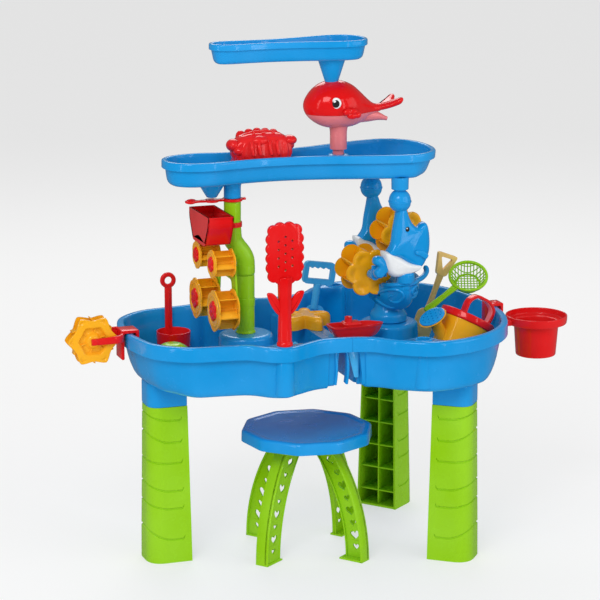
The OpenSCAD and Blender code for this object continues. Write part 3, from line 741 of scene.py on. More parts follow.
    def build(self) -> None:
        """Both halves, with their sockets, pedestals and collars."""
        shell = self.shell()
        for k, (label, side) in enumerate((("basin_left", -1.0), ("basin_right", 1.0))):
            x, y = self.sockets[k]
            cutters = [slab(circle(self.socket_r + 1.2), 350, 390, 0.5).moved((x, s * y, 0))
                       for s in (-1, 1)]
            mesh = cut_holes(shell, cutters, label, 0.2 * side, side)
            self.adopt(label, mesh, BLUE, (label,))
            for s, end in ENDS:
                self.put(f"{label}_socket_{end}", self.drop(x, s * y), BLUE)
            px, pr = self.pedestals[k]
            top = self.pedestal_z
            hollow = revolve([(0, top, 0), (13, top, 1), (pr - 6, top, 3), (pr - 0.5, top - 3, 5),
                              (pr, top - 12, 4), (pr + 1.5, 297, 3), (pr + 4, 295.5, 0), (0, 295, 0)])
            self.put(f"{label}_pedestal", hollow.moved((px, 0, 0)), BLUE)
        for name, (x, y, turn) in zip(("left", "front", "back"), self.legs):
            collar = Leg.section(62, 62, 22)
            rows = [(256.4, 0), (258, 0.6), (291, 0.6), (294, 0)]
            points = np.stack([np.c_[collar + inward(collar) * (0.6 - d), np.full(len(collar), z)]
                               for z, d in rows])
            band = grid(points).turned("z", turn).moved((x, y, 0))
            self.put(f"collar_{name}", band, BLUE)
        self.ribs()

    def ribs(self) -> None:
        """The two bowed ribs and the slanted web in the gap under the band, front and back."""
        for s, end in ENDS:
            for x, label in ((-22.0, "left"), (-3.0, "right")):
                z = np.linspace(300, 352, 16)
                bow = np.sin((z - 300) / 52 * np.pi) * 3
                path = np.c_[x + bow * 0.4, s * (136 + bow), z]
                section = round_corners([(-2, -6), (2, -6), (2, 6), (-2, 6)], 1.2)
                self.put(f"rib_{label}_{end}", sweep(path, section, up=(0, -s, 0)), BLUE)
            web = slab(round_corners([(10, 308), (17, 308), (17, 350), (-1, 350)], 2), 0, 2.5, 0.6)
            self.put(f"web_{end}", upright(web).moved((0, s * 139 + 1.2, 0)), SKY)


@dataclass
class Leg(Maker):
    """A tapering channel with grooves pressed round its outer side and shelves inside."""

    body: str = "table"
    name: str = "left"
    place: tuple = (-262.0, 0.0, 180.0)
    height: float = 256.0
    foot: tuple = (70.0, 75.0)
    top: tuple = (62.0, 62.0)
    wall: float = 3.0
    around: int = 240
    grooves: tuple = ((38, 19), (89, 9), (118, 12), (164, 4), (198, 16), (234, 10))

    @staticmethod
    def section(depth: float, width: float, radius: float) -> Array:
        """The closed plan: round on +X, square on -X."""
        x, y = depth / 2, width / 2
        p = rounded([(-x, 0, 0), (-x, -y, 2), (x, -y, radius), (x, y, radius), (-x, y, 2),
                     (-x, 0, 0)], 12)[:-1]
        return evenly(p, 150)

    def channel(self) -> Array:
        """The wall's section as a loop: out along the outside, back along the inside."""
        x, y, t = 0.5, 0.5, self.wall / self.foot[0]
        outer = rounded([(-x, -y, 0), (x, -y, 0.4), (x, y, 0.4), (-x, y, 0)], 24)
        inner = rounded([(-x, y - t, 0), (x - t, y - t, 0.37), (x - t, -y + t, 0.37),
                         (-x, -y + t, 0)], 24)
        loops = []
        for p, count in ((outer, self.around), (inner, 60)):
            far = np.r_[0, np.cumsum(np.linalg.norm(np.diff(p, axis=0), axis=1))]
            at = np.linspace(0, far[-1], count)
            loops.append(np.stack([np.interp(at, far, p[:, k]) for k in range(2)], 1))
        return np.vstack(loops)

    def shell(self) -> Shell:
        """The wall: the section shrinks with height, with the pressed grooves running round it.

        A groove is level on the flat sides, climbs round the outer side and turns up in a small
        hook at each end, so the rows of points climb with it.
        """
        ring = self.channel()
        n = inward(ring)
        is_outer = np.arange(len(ring)) < self.around
        off = np.where(is_outer, np.abs(np.linspace(0, 1, self.around)[
            np.minimum(np.arange(len(ring)), self.around - 1)] - 0.5), 0.5)
        round_side = smooth((0.33 - off) / 0.3)
        hook = 5 * smooth((off - 0.425) / 0.02) * is_outer
        marks, climbs = np.array(self.grooves).T
        near = np.array([-6, -1.9, -1.3, -0.7, 0, 0.7, 1.3, 1.9, 6])
        level = np.unique(np.r_[0, 1.2, 3, 8, (marks[:, None] + near).ravel(), 252, self.height])
        stops = np.r_[0, 3, marks, self.height]
        climb = np.interp(level, stops, np.r_[0, 0, climbs, 0])[:, None] * round_side[None] * is_outer
        fade = np.interp(level, stops, np.r_[0, 0, np.ones(len(marks)), 0])[:, None]
        z = level[:, None] + climb + hook[None] * fade
        dip = np.max(smooth((1.9 - np.abs(level[:, None] - marks[None])) / 1.2), 1)
        press = 1.9 * dip[:, None] * (smooth((0.445 - off) / 0.008) * is_outer)[None]
        k = (level / self.height)[:, None]
        wide_x = self.foot[0] + (self.top[0] - self.foot[0]) * k
        wide_y = self.foot[1] + (self.top[1] - self.foot[1]) * k
        x = ring[None, :, 0] * wide_x + n[None, :, 0] * press
        y = ring[None, :, 1] * wide_y + n[None, :, 1] * press
        return grid(np.stack([x, y, np.minimum(z, self.height)], -1))

    def inside(self) -> Shell:
        """The middle rib, the shelves and the foot and top plates."""
        x = self.top[0] / 2
        parts = [block((-x + 3, -1.3, 2), (x - 2, 1.3, self.height - 3), 0.5)]
        for z in np.linspace(28, 228, 6):
            k = 1 - z / self.height
            deep, wide = (t + (f - t) * k for t, f in zip(self.top, self.foot))
            shelf = slab(self.section(deep - 8, wide - 4, 0.36 * deep), z - 1.2, z + 1.2, 0.5, 3)
            parts.append(shelf.moved((2, 0, 0)))
        plan = self.section(self.foot[0] - 1, self.foot[1] - 1, 27)
        parts.append(slab(plan, 0, 4, 0.8))
        parts.append(slab(self.section(self.top[0] - 1, self.top[1] - 1, 24), 251, 255.6, 0.8))
        return join(*parts)

    def build(self) -> None:
        """The wall and what is inside it."""
        x, y, turn = self.place
        wall = self.shell().turned("z", turn).moved((x, y, 0))
        self.put(f"leg_{self.name}", wall, LIME, (f"leg_{self.name}",))
        ribs = self.inside().turned("z", turn).moved((x, y, 0))
        self.put(f"leg_{self.name}_ribs", ribs, LIME)


@dataclass
class Tray(Maker):
    """A shallow lobed tray: a hanging band, a flat lip, a drafted wall and a round bottom edge."""

    body: str = "table"
    name: str = "mid_tray"
    half: tuple = ()
    rim: float = 646.0
    floor: float = 606.0
    band: float = 13.0
    lip: float = 8.0
    corner: float = 12.0
    lean: float = 3.0

    def ring(self) -> Array:
        """The rim's outer edge, evenly spaced."""
        return evenly(curve_through(both_sides(self.half), 8), 360)

    def raised(self, x: Array) -> Array:
        """How much the rim stands up at each place along X."""
        return 0 * x

    def leaning(self, x: Array) -> Array:
        """How much further in the wall's foot stands at each place along X."""
        return 0 * x

    def shell(self) -> Shell:
        """One profile of (inset, height) carried round the rim, closed along the middle line."""
        ring = self.ring()
        top, low, lip = self.rim, self.floor, self.lip
        under, far = top - self.band, lip + self.lean + self.corner + 2
        line = rounded([(far, low, 0), (lip + self.lean - 2, low, self.corner),
                        (lip - 2.6, under, 4), (lip - 2.6, top - 4, 2), (2.4, top - 4, 1.5),
                        (2.2, under, 1), (0, under, 1), (0, top, 3.4), (lip, top, 2.2),
                        (lip + 0.8, top - 5, 3), (lip + self.lean, low + 3, self.corner * 0.8),
                        (far + 1, low + 3, 0)], 6)
        deep = np.clip((under + 4 - line[:, 1:]) / (under + 4 - low), 0, 1)
        rows = inset_rows(ring, line[:, :1] + deep * self.leaning(ring[:, 0])[None])
        z = np.repeat(line[:, 1:], len(ring), 1)
        z = z + self.raised(rows[..., 0]) * smooth((z - under + 4) / 6)
        rows = np.concatenate([rows, z[..., None]], -1)

        def towards_middle(row: Array) -> Array:
            """Copies of a row drawn in to the X axis."""
            k = np.linspace(1, 0, 5)[1:, None]
            return np.stack([np.repeat(row[None, :, 0], 4, 0), row[None, :, 1] * k,
                             np.repeat(row[None, :, 2], 4, 0)], -1)

        points = np.concatenate([towards_middle(rows[0])[::-1], rows, towards_middle(rows[-1])])
        return grid(points, caps=(False, False))


@dataclass
class MidTray(Tray):
    """The middle tray, with the funnel, the whale's boss, the strainer holes and three stubs."""

    half: tuple = ((-257, 0), (-251, 25), (-228, 44), (-190, 50), (-150, 43), (-100, 38), (-50, 41),
                   (0, 51), (50, 66), (100, 79), (138, 82), (167, 68), (185, 40), (191, 0))
    funnel_x: float = -178.0
    stub_x: float = -144.0
    neck_x: float = 34.0
    tower: tuple = (115.0, 63.0)

    def leaning(self, x: Array) -> Array:
        """The wall leans in more at the right end."""
        return 8 * smooth((x - 135) / 35)

    def build(self) -> None:
        """The tray with its holes, then the fittings above and below."""
        grille = [(x, y) for x in range(70, 155, 14) for y in range(-28, 29, 14)]
        cutters = [slab(circle(1.7, 12), 600, 615, 0.3, 2).moved((x, y, 0)) for x, y in grille]
        cutters.append(slab(circle(11.5), 598, 616, 0.5).moved((self.funnel_x, 0, 0)))
        self.adopt("mid_tray", cut_holes(self.shell(), cutters, "mid_tray"), BLUE, ("mid_tray",))
        cone = lathe_ring([(22, 606, 2), (25, 610, 1), (24, 615, 1), (21.5, 615, 1), (20, 608, 3),
                           (6, 590, 2), (5, 583, 0), (8, 583, 1)])
        self.put("funnel", cone.moved((self.funnel_x, 0, 0)), BLUE)
        stub = revolve([(0, 608, 0), (18, 608, 4), (14.5, 603, 4), (13.5, 597, 2), (13.5, 580.2, 1),
                        (9.3, 580.2, 0), (9.3, 600, 0), (0, 600, 0)])
        self.put("column_cup", stub.moved((self.stub_x, 0, 0)), BLUE)
        boss = lathe_ring([(17.5, 608, 3), (17, 639, 2), (9.8, 640, 1), (9.4, 610, 0), (22, 608, 0)])
        self.put("whale_boss", boss.moved((self.neck_x, 0, 0)), BLUE)
        bead = lathe_ring([(60, 608, 0), (60, 611, 1.2), (57, 611, 1.2), (57, 608, 0)])
        self.put("strainer_bead", bead.scaled(0.88, 0.66, 1).moved((112, 0, 0)), BLUE)
        for s, end in ENDS:
            cup = lathe_ring([(14, 608, 0), (13.6, 588.4, 1), (9.3, 588.4, 1), (9.3, 608, 0)])
            self.put(f"dolphin_cup_{end}", cup.moved((self.tower[0], s * self.tower[1], 0)), BLUE)
        for x, r in ((-218.0, 12.0), (-178.0, 27.5)):
            ring = lathe_ring([(r, 608, 0), (r, 610.6, 1), (r - 2.4, 610.6, 1), (r - 2.4, 608, 0)])
            self.put(f"tray_bead_{int(-x)}", ring.moved((x, 0, 0)), BLUE)


@dataclass
class TopTray(Tray):
    """The narrow top tray with its spout cone and a row of shower holes."""

    body: str = "shower_tray"
    name: str = "top_tray"
    half: tuple = ((-179, 0), (-174, 17), (-153, 26), (-115, 24), (-75, 24), (-35, 30), (0, 38),
                   (33, 44), (60, 38), (75, 20), (79, 0))
    rim: float = 825.0
    floor: float = 793.0
    band: float = 10.0
    lip: float = 6.0
    corner: float = 8.0
    lean: float = 4.0
    head_x: float = 22.0

    def build(self) -> None:
        """The tray with its holes, and the cone below it."""
        grid_of = [(x, y) for x in range(-150, -50, 14) for y in (-12, 0, 12)]
        cutters = [slab(circle(1.7, 12), 788, 800, 0.3, 2).moved((x, y, 0)) for x, y in grid_of]
        cutters.append(slab(circle(7.2), 780, 800, 0.5).moved((self.head_x, 0, 0)))
        self.adopt("top_tray", cut_holes(self.shell(), cutters, "top_tray"), BLUE, ("top_tray",))
        cone = lathe_ring([(23, 794, 3), (21, 789, 4), (12.4, 762, 2), (11, 758, 1), (11, 740.5, 1),
                           (7, 740.5, 1), (7, 794, 0)])
        self.put("top_tray_cone", cone.moved((self.head_x, 0, 0)), BLUE)
        bead = lathe_ring([(15, 795.5, 0), (15, 799, 1.2), (7.4, 799, 1), (7.4, 795.5, 0)])
        self.put("top_tray_bead", bead.moved((self.head_x, 0, 0)), BLUE)


@dataclass
class Stool(Maker):
    """The ten-sided stool on four bowed legs with heart holes."""

    body: str = "stool"
    place: tuple = (-32.0, -36.0, 0.0)
    turn: float = -8.0
    seat_z: float = 205.0
    seat_r: float = 108.0
    arc_r: float = 300.0
    foot_x: float = 118.0
    depth: float = 40.0

    def stand(self, shell: Shell) -> Shell:
        """A shell drawn round the stool's own middle, put where the stool stands."""
        return shell.turned("z", self.turn).moved(self.place)

    def heart(self, size: float, x: float, z: float, tilt: float) -> Array:
        """A heart: the sine cubed across, and four cosines of rising rate upwards."""
        a = full_turn(28)
        across = np.sin(a)**3
        up = (13 * np.cos(a) - 5 * np.cos(2 * a) - 2 * np.cos(3 * a) - np.cos(4 * a)) / 16
        c, s = math.cos(math.radians(tilt)), math.sin(math.radians(tilt))
        return np.stack([x + size * (c * across - s * up), z + size * (s * across + c * up)], 1)

    def arc(self, radius: float, low: float, high: float, count: int) -> Array:
        """Points of an arc about the leg's centre, between two heights."""
        z = np.linspace(low, high, count)
        return np.stack([self.foot_x - self.arc_r + np.sqrt(radius**2 - z**2), z], 1)

    def leg(self, angle: float) -> Shell:
        """A bowed plate with hearts of two sizes, a flange outside and a bead inside."""
        top = self.seat_z - 31
        outer = self.arc(self.arc_r, 0.5, top, 30)
        inner = self.arc(self.arc_r - self.depth, 0.5, top, 30)[::-1]
        inner[:, 0] = np.maximum(inner[:, 0], 14)
        holes = []
        for k, z in enumerate(np.linspace(20, 158, 8)):
            mid = self.arc_r - self.depth / 2 - 1
            x = self.foot_x - self.arc_r + math.sqrt(mid**2 - z * z)
            holes.append(self.heart(8.6 if k % 2 else 5.6, x, z, math.degrees(z / self.arc_r)))
        face = plate(np.vstack([outer, inner]), holes, 0, 3)
        rims = []
        for radius, thick, low, high in ((self.arc_r, 3.0, -3.0, 19.8), (self.arc_r - 37, 2.4, -1.0, 6.0)):
            a = self.arc(radius, 0.5, top, 30)
            b = self.arc(radius - thick, 0.5, top, 30)[::-1]
            strip = np.vstack([a, b])
            strip[:, 0] = np.maximum(strip[:, 0], 14)
            rims.append(slab(strip, low, high, 0.5, 3))
        foot = slab(np.array([(75.5, 0), (118, 0), (118, 3), (75.5, 3)], float), -3, 19.8, 0.5, 3)
        form = join(face, *rims, foot)
        return self.stand(upright(form).turned("z", angle))

    def build(self) -> None:
        """The seat, its frame and the legs."""
        step = np.arange(10) * 36
        corners = np.stack([np.cos(np.radians(step)), np.sin(np.radians(step))], 1) * self.seat_r
        rim = round_corners(corners, 7)
        top, low = self.seat_z, self.seat_z - 19
        across = self.seat_r * math.cos(math.radians(18))
        line = rounded([(96, top - 1.2, 0), (15, top - 1.2, 3), (12.5, top, 4), (0.4, top, 5),
                        (0, low, 1), (3.4, low, 1), (3.4, top - 4, 2), (96, top - 4, 0)], 6)
        points = levels(rim, 1 - line[:, :1] / across, line[:, 1:])
        self.put("stool_seat", self.stand(grid(points)), BLUE, ("stool_seat",))
        square = round_corners([(-52, -52), (52, -52), (52, 52), (-52, 52)], 5)
        shrunk = square + inward(square) * 3
        frame_wall = plate(square, [shrunk], top - 31, top - 4.2)
        self.put("stool_frame", self.stand(frame_wall), LIME, ("stool_frame",), bevel=0.6)
        names = {45: "back_right", 135: "back_left", 225: "front_left", 315: "front_right"}
        for angle, name in names.items():
            node = f"stool_leg_{name}"
            self.put(node, self.leg(angle), LIME, (node,), bevel=0.5)


# ---- left tower ----

@dataclass
class LeftTower(Maker):
    """The green column with its S-bend, the wheel bracket and the red hopper."""

    body: str = "table"
    foot: tuple = (-123.0, 0.0, 360.0)
    stub_x: float = -144.0
    radius: float = 13.5
    seam: float = 455.0
    bend: tuple = (482.0, 513.0)

    def column(self) -> None:
        """The two tubes, which meet in a fine seam, the upper one bent over to the stub."""
        x, _, z = self.foot
        low = lathe_ring([(16, z + 0.3, 1), (16, z + 2, 1), (self.radius + 1, z + 4, 2),
                          (self.radius + 1, self.seam - 0.5, 0.8), (11, self.seam - 0.5, 0),
                          (8.5, z - 13, 0), (10.6, z - 13.5, 0), (10.6, z + 0.3, 0)])
        self.put("column_lower", low.moved((x, 0, 0)), LIME, ("column_lower",))
        knots = [(x, 0, self.seam + 0.2), (x, 0, self.seam + 8), (x, 0, self.bend[0] - 4),
                 (x - 5, 0, self.bend[0] + 8), (self.stub_x + 5, 0, self.bend[1] - 8),
                 (self.stub_x, 0, self.bend[1] + 4), (self.stub_x, 0, 560), (self.stub_x, 0, 574.6)]
        path = curve_through(knots, 8, False)
        sizes = 1.0 + 0.085 * smooth((545 - path[:, 2]) / 30)
        sizes[[0, -1]] -= 0.04
        self.put("column_upper", sweep(path, self.radius, sizes, 40, (0, 1, 0)), LIME,
                 ("column_upper",))
        pin = revolve([(0, 570, 0), (8.9, 570, 0), (8.9, 599, 1.5), (0, 599, 0)], 32)
        self.put("column_pin", pin.moved((self.stub_x, 0, 0)), LIME)

    def bracket(self) -> None:
        """The plate behind the wheels, with two collars on the column and four pins."""
        small, large = (39.0, 484.0), (48.0, 411.0)
        x0 = -156.5
        half = [(0, 399), (48, 401), (58, 411), (47, 484), (39, 494), (29, 484), (33, 468), (0, 471)]
        other = [(-y, z) for y, z in half[::-1] if y > 0]
        ring = round_corners([*half, *other], 6)
        gap = round_corners([(-36, 419), (36, 419), (30, 455), (-30, 455)], 7)
        form = plate(ring, [gap], 0, 3).turned("x", 90).turned("z", 90).moved((x0, 0, 0))
        self.put("wheel_bracket", form, LIME, ("wheel_bracket",), bevel=0.6)
        parts = []
        for z in (large[1] - 6, 458.0):
            clamp = lathe_ring([(15.3, z, 0.5), (15.3, z + 12, 0.5), (13.9, z + 12, 0.3), (13.9, z, 0)], 40)
            parts.append(clamp.moved((self.foot[0], 0, 0)))
            parts.append(block((x0 + 1, -5, z), (x0 + 19, 5, z + 12), 0.8))
        for y, z in (small, large):
            for s in (-1, 1):
                pin = revolve([(0, 0, 0), (3, 0, 0), (3, 36, 1), (0, 36, 0)], 24)
                parts.append(pin.turned("y", -90).moved((x0 + 1, s * y, z)))
        self.put("bracket_collars", join(*parts), LIME)

    def hopper(self) -> None:
        """The trough: a flared profile with a ridged floor, end walls, a rolled rim and a collar."""
        outer = rounded([(-50, 560, 0), (-50, 545, 8), (-31, 511, 6), (31, 511, 6), (50, 545, 8),
                         (50, 560, 0)], 8)
        inner = rounded([(47.6, 560, 0), (47.6, 546, 8), (29, 516, 5), (0, 525, 10), (-29, 516, 5),
                         (-47.6, 546, 8), (-47.6, 560, 0)], 8)
        walls = []
        for low, high, ring in ((0.0, 42.0, np.vstack([outer, inner])), (0.0, 2.2, outer),
                                (39.8, 42.0, outer)):
            walls.append(plate(ring, [], low, high))
        rim_in = round_corners([(-47.4, 2.4), (47.4, 2.4), (47.4, 39.6), (-47.4, 39.6)], 3)
        rim_out = round_corners([(-51, -0.4), (51, -0.4), (51, 42), (-51, 42)], 4)
        form = join(*walls).turned("x", 90).turned("z", 90).moved((-200, 0, 0))
        rim = plate(rim_out, [rim_in], 557.4, 560).turned("z", 90).moved((-158, 0, 0))
        self.put("hopper", form, RED, ("hopper",), bevel=0.7)
        self.put("hopper_rim", rim, RED, bevel=0.6)
        collar = lathe_ring([(15.2, 534, 0.6), (15.2, 542, 0.6), (13.6, 542, 0.4), (13.6, 534, 0)], 40)
        self.put("hopper_collar", collar.moved((self.stub_x, 0, 0)), RED)

    def build(self) -> None:
        """The column, the bracket and the hopper."""
        self.column()
        self.bracket()
        self.hopper()


@dataclass
class Gate(Maker):
    """The valve lever that swings under the funnel."""

    body: str = "gate"
    pivot: tuple = (-144.0, 0.0, 575.4)
    reach: float = -34.0

    def build(self) -> None:
        """The ring, the valve plate, the waisted blade with its thumb rib, and the stop."""
        ring = lathe_ring([(16, 0, 1), (16, 4.2, 1), (9.5, 4.2, 0.6), (9.5, 0, 0)], 48)
        disc = revolve([(0, 0, 0), (11, 0, 1), (11, 4.2, 1.2), (7, 4.2, 1), (6, 3.2, 1), (0, 3.2, 0)], 40)
        far = self.reach - 42
        edge = curve_through([(-13, -5), (-24, -4.2), (self.reach - 12, -4.4), (self.reach - 22, -3),
                              (self.reach - 32, -6), (far, -4.6), (far - 1, 0)], 6, False)
        ringed = np.vstack([edge, edge[::-1][1:] * [1, -1]])
        blade = slab(ringed, 0.2, 4, 0.9)
        rib = ball((far + 8, 0, 2.6), (9, 3.4, 4.4), rows=14, cols=24)
        stop = block((14, -3, 0.2), (22, 3, 4), 0.8)
        form = join(ring, disc.moved((self.reach, 0, 0)), blade, rib, stop).moved(self.pivot)
        self.put("gate_lever", form, RED, ("gate_lever",))


@dataclass
class WaterWheel(Maker):
    """A wheel of two petalled discs with cupped paddles, and its red flower cap."""

    name: str = "upper_front"
    radius: float = 23.0
    cap: float = 12.5
    at: tuple = (39.0, 484.0)
    side: int = -1
    width: float = 34.0

    def stand(self, shell: Shell) -> Shell:
        """A shell drawn along Z turned to point along -X, on its pin."""
        return shell.turned("y", -90).moved((-158, self.side * self.at[0], self.at[1]))

    def build(self) -> None:
        """The wheel, then the cap."""
        r, w = self.radius, self.width
        bore = circle(3.1, 24)[::-1]
        discs = []
        for z in (0.0, w - 2.2):
            discs.append(plate(petals(r, r * 0.09, 6), [bore], z, z + 2.2))
            bead = lathe_ring([(r * 0.78, z, 0), (r * 0.78, z + 3, 0.8), (r * 0.7, z + 3, 0.8),
                               (r * 0.7, z, 0)], 48)
            discs.append(bead if z else bead.moved((0, 0, -0.8)))
        hub = lathe_ring([(6.4, 0, 0), (6.4, w - 0.1, 0.6), (3.1, w - 0.1, 0), (3.1, 0, 0)], 32)
        paddles = []
        t = np.linspace(0, 1, 12)
        line = np.stack([5 + (r - 8) * t, 0.16 * r * np.sin(np.pi * t)], 1)
        wall = np.vstack([line + [0, 0.9], line[::-1] - [0, 0.9]])
        for k in range(6):
            paddles.append(slab(wall, 0.6, w - 0.8, 0.3, 3).turned("z", 60 * k + 15))
        wheel = self.stand(join(*discs, hub, *paddles))
        self.put(f"wheel_{self.name}", wheel, YELLOW, (f"wheel_{self.name}",))
        c = self.cap
        a = full_turn(96)
        reach = np.linspace(1, 0.02, 14)[:, None]
        ring = c * (1 - 0.2 * (1 - np.abs(np.cos(3 * a))**0.8))[None]
        ring = ring * reach
        dome = 1.2 + 2.8 * np.sqrt(np.clip(1 - reach**2.6, 0, 1)) - 1.6 * np.exp(-((reach - 0.42) / 0.1)**2)
        top = polar(ring, a, np.repeat(dome, 96, 1))
        foot = top[:1].copy()
        foot[..., 2] = 0
        flower = self.stand(grid(np.concatenate([foot, top])).moved((0, 0, w)))
        self.put(f"cap_{self.name}", flower, RED, (f"cap_{self.name}",))


# ---- right tower ----

@dataclass
class FlowerWheel(Maker):
    """A wide wheel: two dished six-petal discs joined by curved paddles round a hub."""

    name: str = "upper"
    at: tuple = (138.0, 0.0, 506.0)
    radius: float = 40.0
    width: float = 60.0
    bore: float = 3.2

    def build(self) -> None:
        """The wheel."""
        r, w = self.radius, self.width
        a = full_turn(144)
        swell = 1 - 0.2 * (1 - np.abs(np.cos(3 * a))**0.75)
        k = np.r_[1, 0.97, np.linspace(0.93, 0.2, 16), 0.16]
        ring = np.maximum(r * k[:, None] * (swell[None] * k[:, None] + 1 - k[:, None]), self.bore)
        dip = 2.6 * np.exp(-((k[:, None] - 0.66) / 0.13)**2) * np.clip(np.cos(3 * a)**2, 0, 1)[None]
        face = 4 - 3.4 * (np.arange(len(k)) == 0)[:, None] - dip - 0.6 * (k[:, None] > 0.96)
        front = polar(ring, a, face)
        back = front[::-1].copy()
        back[..., 2] = 0.2
        disc = grid(np.concatenate([front, back, front[:1]]), caps=(False, False))
        other = disc.scaled(1, 1, -1).moved((0, 0, 4))
        t = np.linspace(0, 1, 14)
        line = np.stack([5 + (r - 12) * t, 5 * np.sin(np.pi * t)], 1)
        wall = np.vstack([line + [0, 1.1], line[::-1] - [0, 1.1]])
        paddles = [slab(wall, 3, w - 3, 0.3, 3).turned("z", 60 * i + 30) for i in range(6)]
        hub = lathe_ring([(8, 0, 1), (8, w, 1), (3.15, w, 0), (3.15, 0, 0)], 32)
        form = join(other, disc.moved((0, 0, w - 4)), hub, *paddles)
        x, _, z = self.at
        form = upright(form).moved((x, w / 2, z))
        self.put(f"flower_wheel_{self.name}", form, YELLOW, (f"flower_wheel_{self.name}",))


@dataclass
class WaveBase(Maker):
    """The pedestal whose top curls like a wave, with spiral beads on its sides."""

    body: str = "table"
    foot: tuple = (122.0, 0.0, 360.4)
    top: float = 436.0
    wheel: tuple = (78.0, 0.0, 448.0)
    middle: float = 126.0
    low: float = 385.0
    half_x: float = 38.0
    half_y: float = 71.0

    @staticmethod
    def width(t: Array) -> Array:
        """The bowl's share of its full width at each share of its height."""
        return 0.52 + 0.48 * np.sin(t * np.pi / 2)**0.8

    def bowl(self) -> Shell:
        """An oval bowl: each level's plan is a stretched circle that widens as a quarter sine.

        Its upper edge rises and falls as a wave, highest beside the dolphins' feet, and curls
        out on the right.
        """
        a = full_turn(160)[None]
        t = np.linspace(0, 1, 30)[:, None]
        wide = self.width(t)
        curl = np.clip(np.cos(a), 0, 1)**6 * t**5 * 1.5
        x = self.middle + (self.half_x + curl) * wide * np.cos(a)
        y = self.half_y * wide * np.sin(a)
        crest = self.top - 1 - 7 * np.clip(-np.cos(a), 0, 1)**2
        z = self.low + (crest - self.low) * t**1.2
        ripple = 0.9 * np.sin(6 * a + t * 7) * smooth(t * 3)
        outer = np.stack([x + ripple * np.cos(a), y + ripple * np.sin(a), z], -1)
        lid_k = np.array([0.95, 0.9, 0.5, 0.1])[:, None]
        lid = np.stack([self.middle + (x[-1:] - self.middle) * lid_k, y[-1:] * lid_k,
                        z[-1:] - np.array([0.3, 3.5, 5, 5])[:, None] + 0 * a], -1)
        centre = np.array([self.middle, 0, 0])
        foot = outer[:1] * [0.0, 0.0, 1.0] + centre * 0.4 + outer[:1] * [0.6, 0.6, 0]
        return grid(np.concatenate([foot, outer, lid]))

    def build(self) -> None:
        """The bowl with the lower wheel's notch cut out, the neck and the spirals."""
        x, _, z = self.wheel
        notch = upright(slab(circle(43.2, 64), -33, 33, 2)).moved((x, 0, z))
        sockets = [slab(circle(12.9), 430, 450, 0.5).moved((125.5, s * 63, 0)) for s in (-1, 1)]
        mesh = cut_holes(self.bowl(), [notch, *sockets], "wave_base")
        self.adopt("wave_base", mesh, BLUE, ("wave_base",))
        neck = revolve([(0, 360.6, 0), (30, 360.6, 2), (30, 372, 3), (24, 380, 4), (22, 392, 0), (0, 392, 0)])
        self.put("wave_neck", neck.moved((self.foot[0], 0, 0)), BLUE)
        a = np.radians(np.linspace(150, -150, 90))
        crest = self.top - 1.5 - 7 * np.clip(-np.cos(a), 0, 1)**2
        rim = np.c_[self.middle + 37 * np.cos(a), 70 * np.sin(a), crest]
        self.put("wave_rim", sweep(rim, 3.8, round_ends(90, 0.04), 18), BLUE)
        for s, end in ENDS:
            tip = curve_through([(138, s * 54, 434), (154, s * 48, 435), (167, s * 39, 438),
                                 (175, s * 31, 443), (176, s * 27, 448), (172, s * 26, 450)], 8, False)
            self.put(f"wave_tip_{end}", sweep(tip, 4.4, round_ends(len(tip), 0.14), 20), BLUE)
            for x0, z0, size, start, spin, label in ((110, 411, 20, -1.2, -1, "left"),
                                                     (143, 420, 12, 4.3, 1, "right")):
                t = np.linspace(0, 1, 60)
                r = size * (1 - 0.78 * t)
                angle = start + spin * t * 2.9 * np.pi
                px, pz = x0 + r * np.cos(angle), z0 + r * np.sin(angle)
                k = np.clip((pz - self.low) / 50, 0.05, 1)**(1 / 1.2)
                wide = self.width(k)
                across = (px - self.middle) / (self.half_x * wide)
                y = self.half_y * wide * np.sqrt(np.clip(1 - across**2, 0.02, 1)) - 0.6
                path = np.c_[px, s * y, pz]
                bead = sweep(path, 3.0, round_ends(60, 0.1) * (1 - 0.35 * t), 16, (0, s, 0.2))
                self.put(f"spiral_{label}_{end}", bead, BLUE)


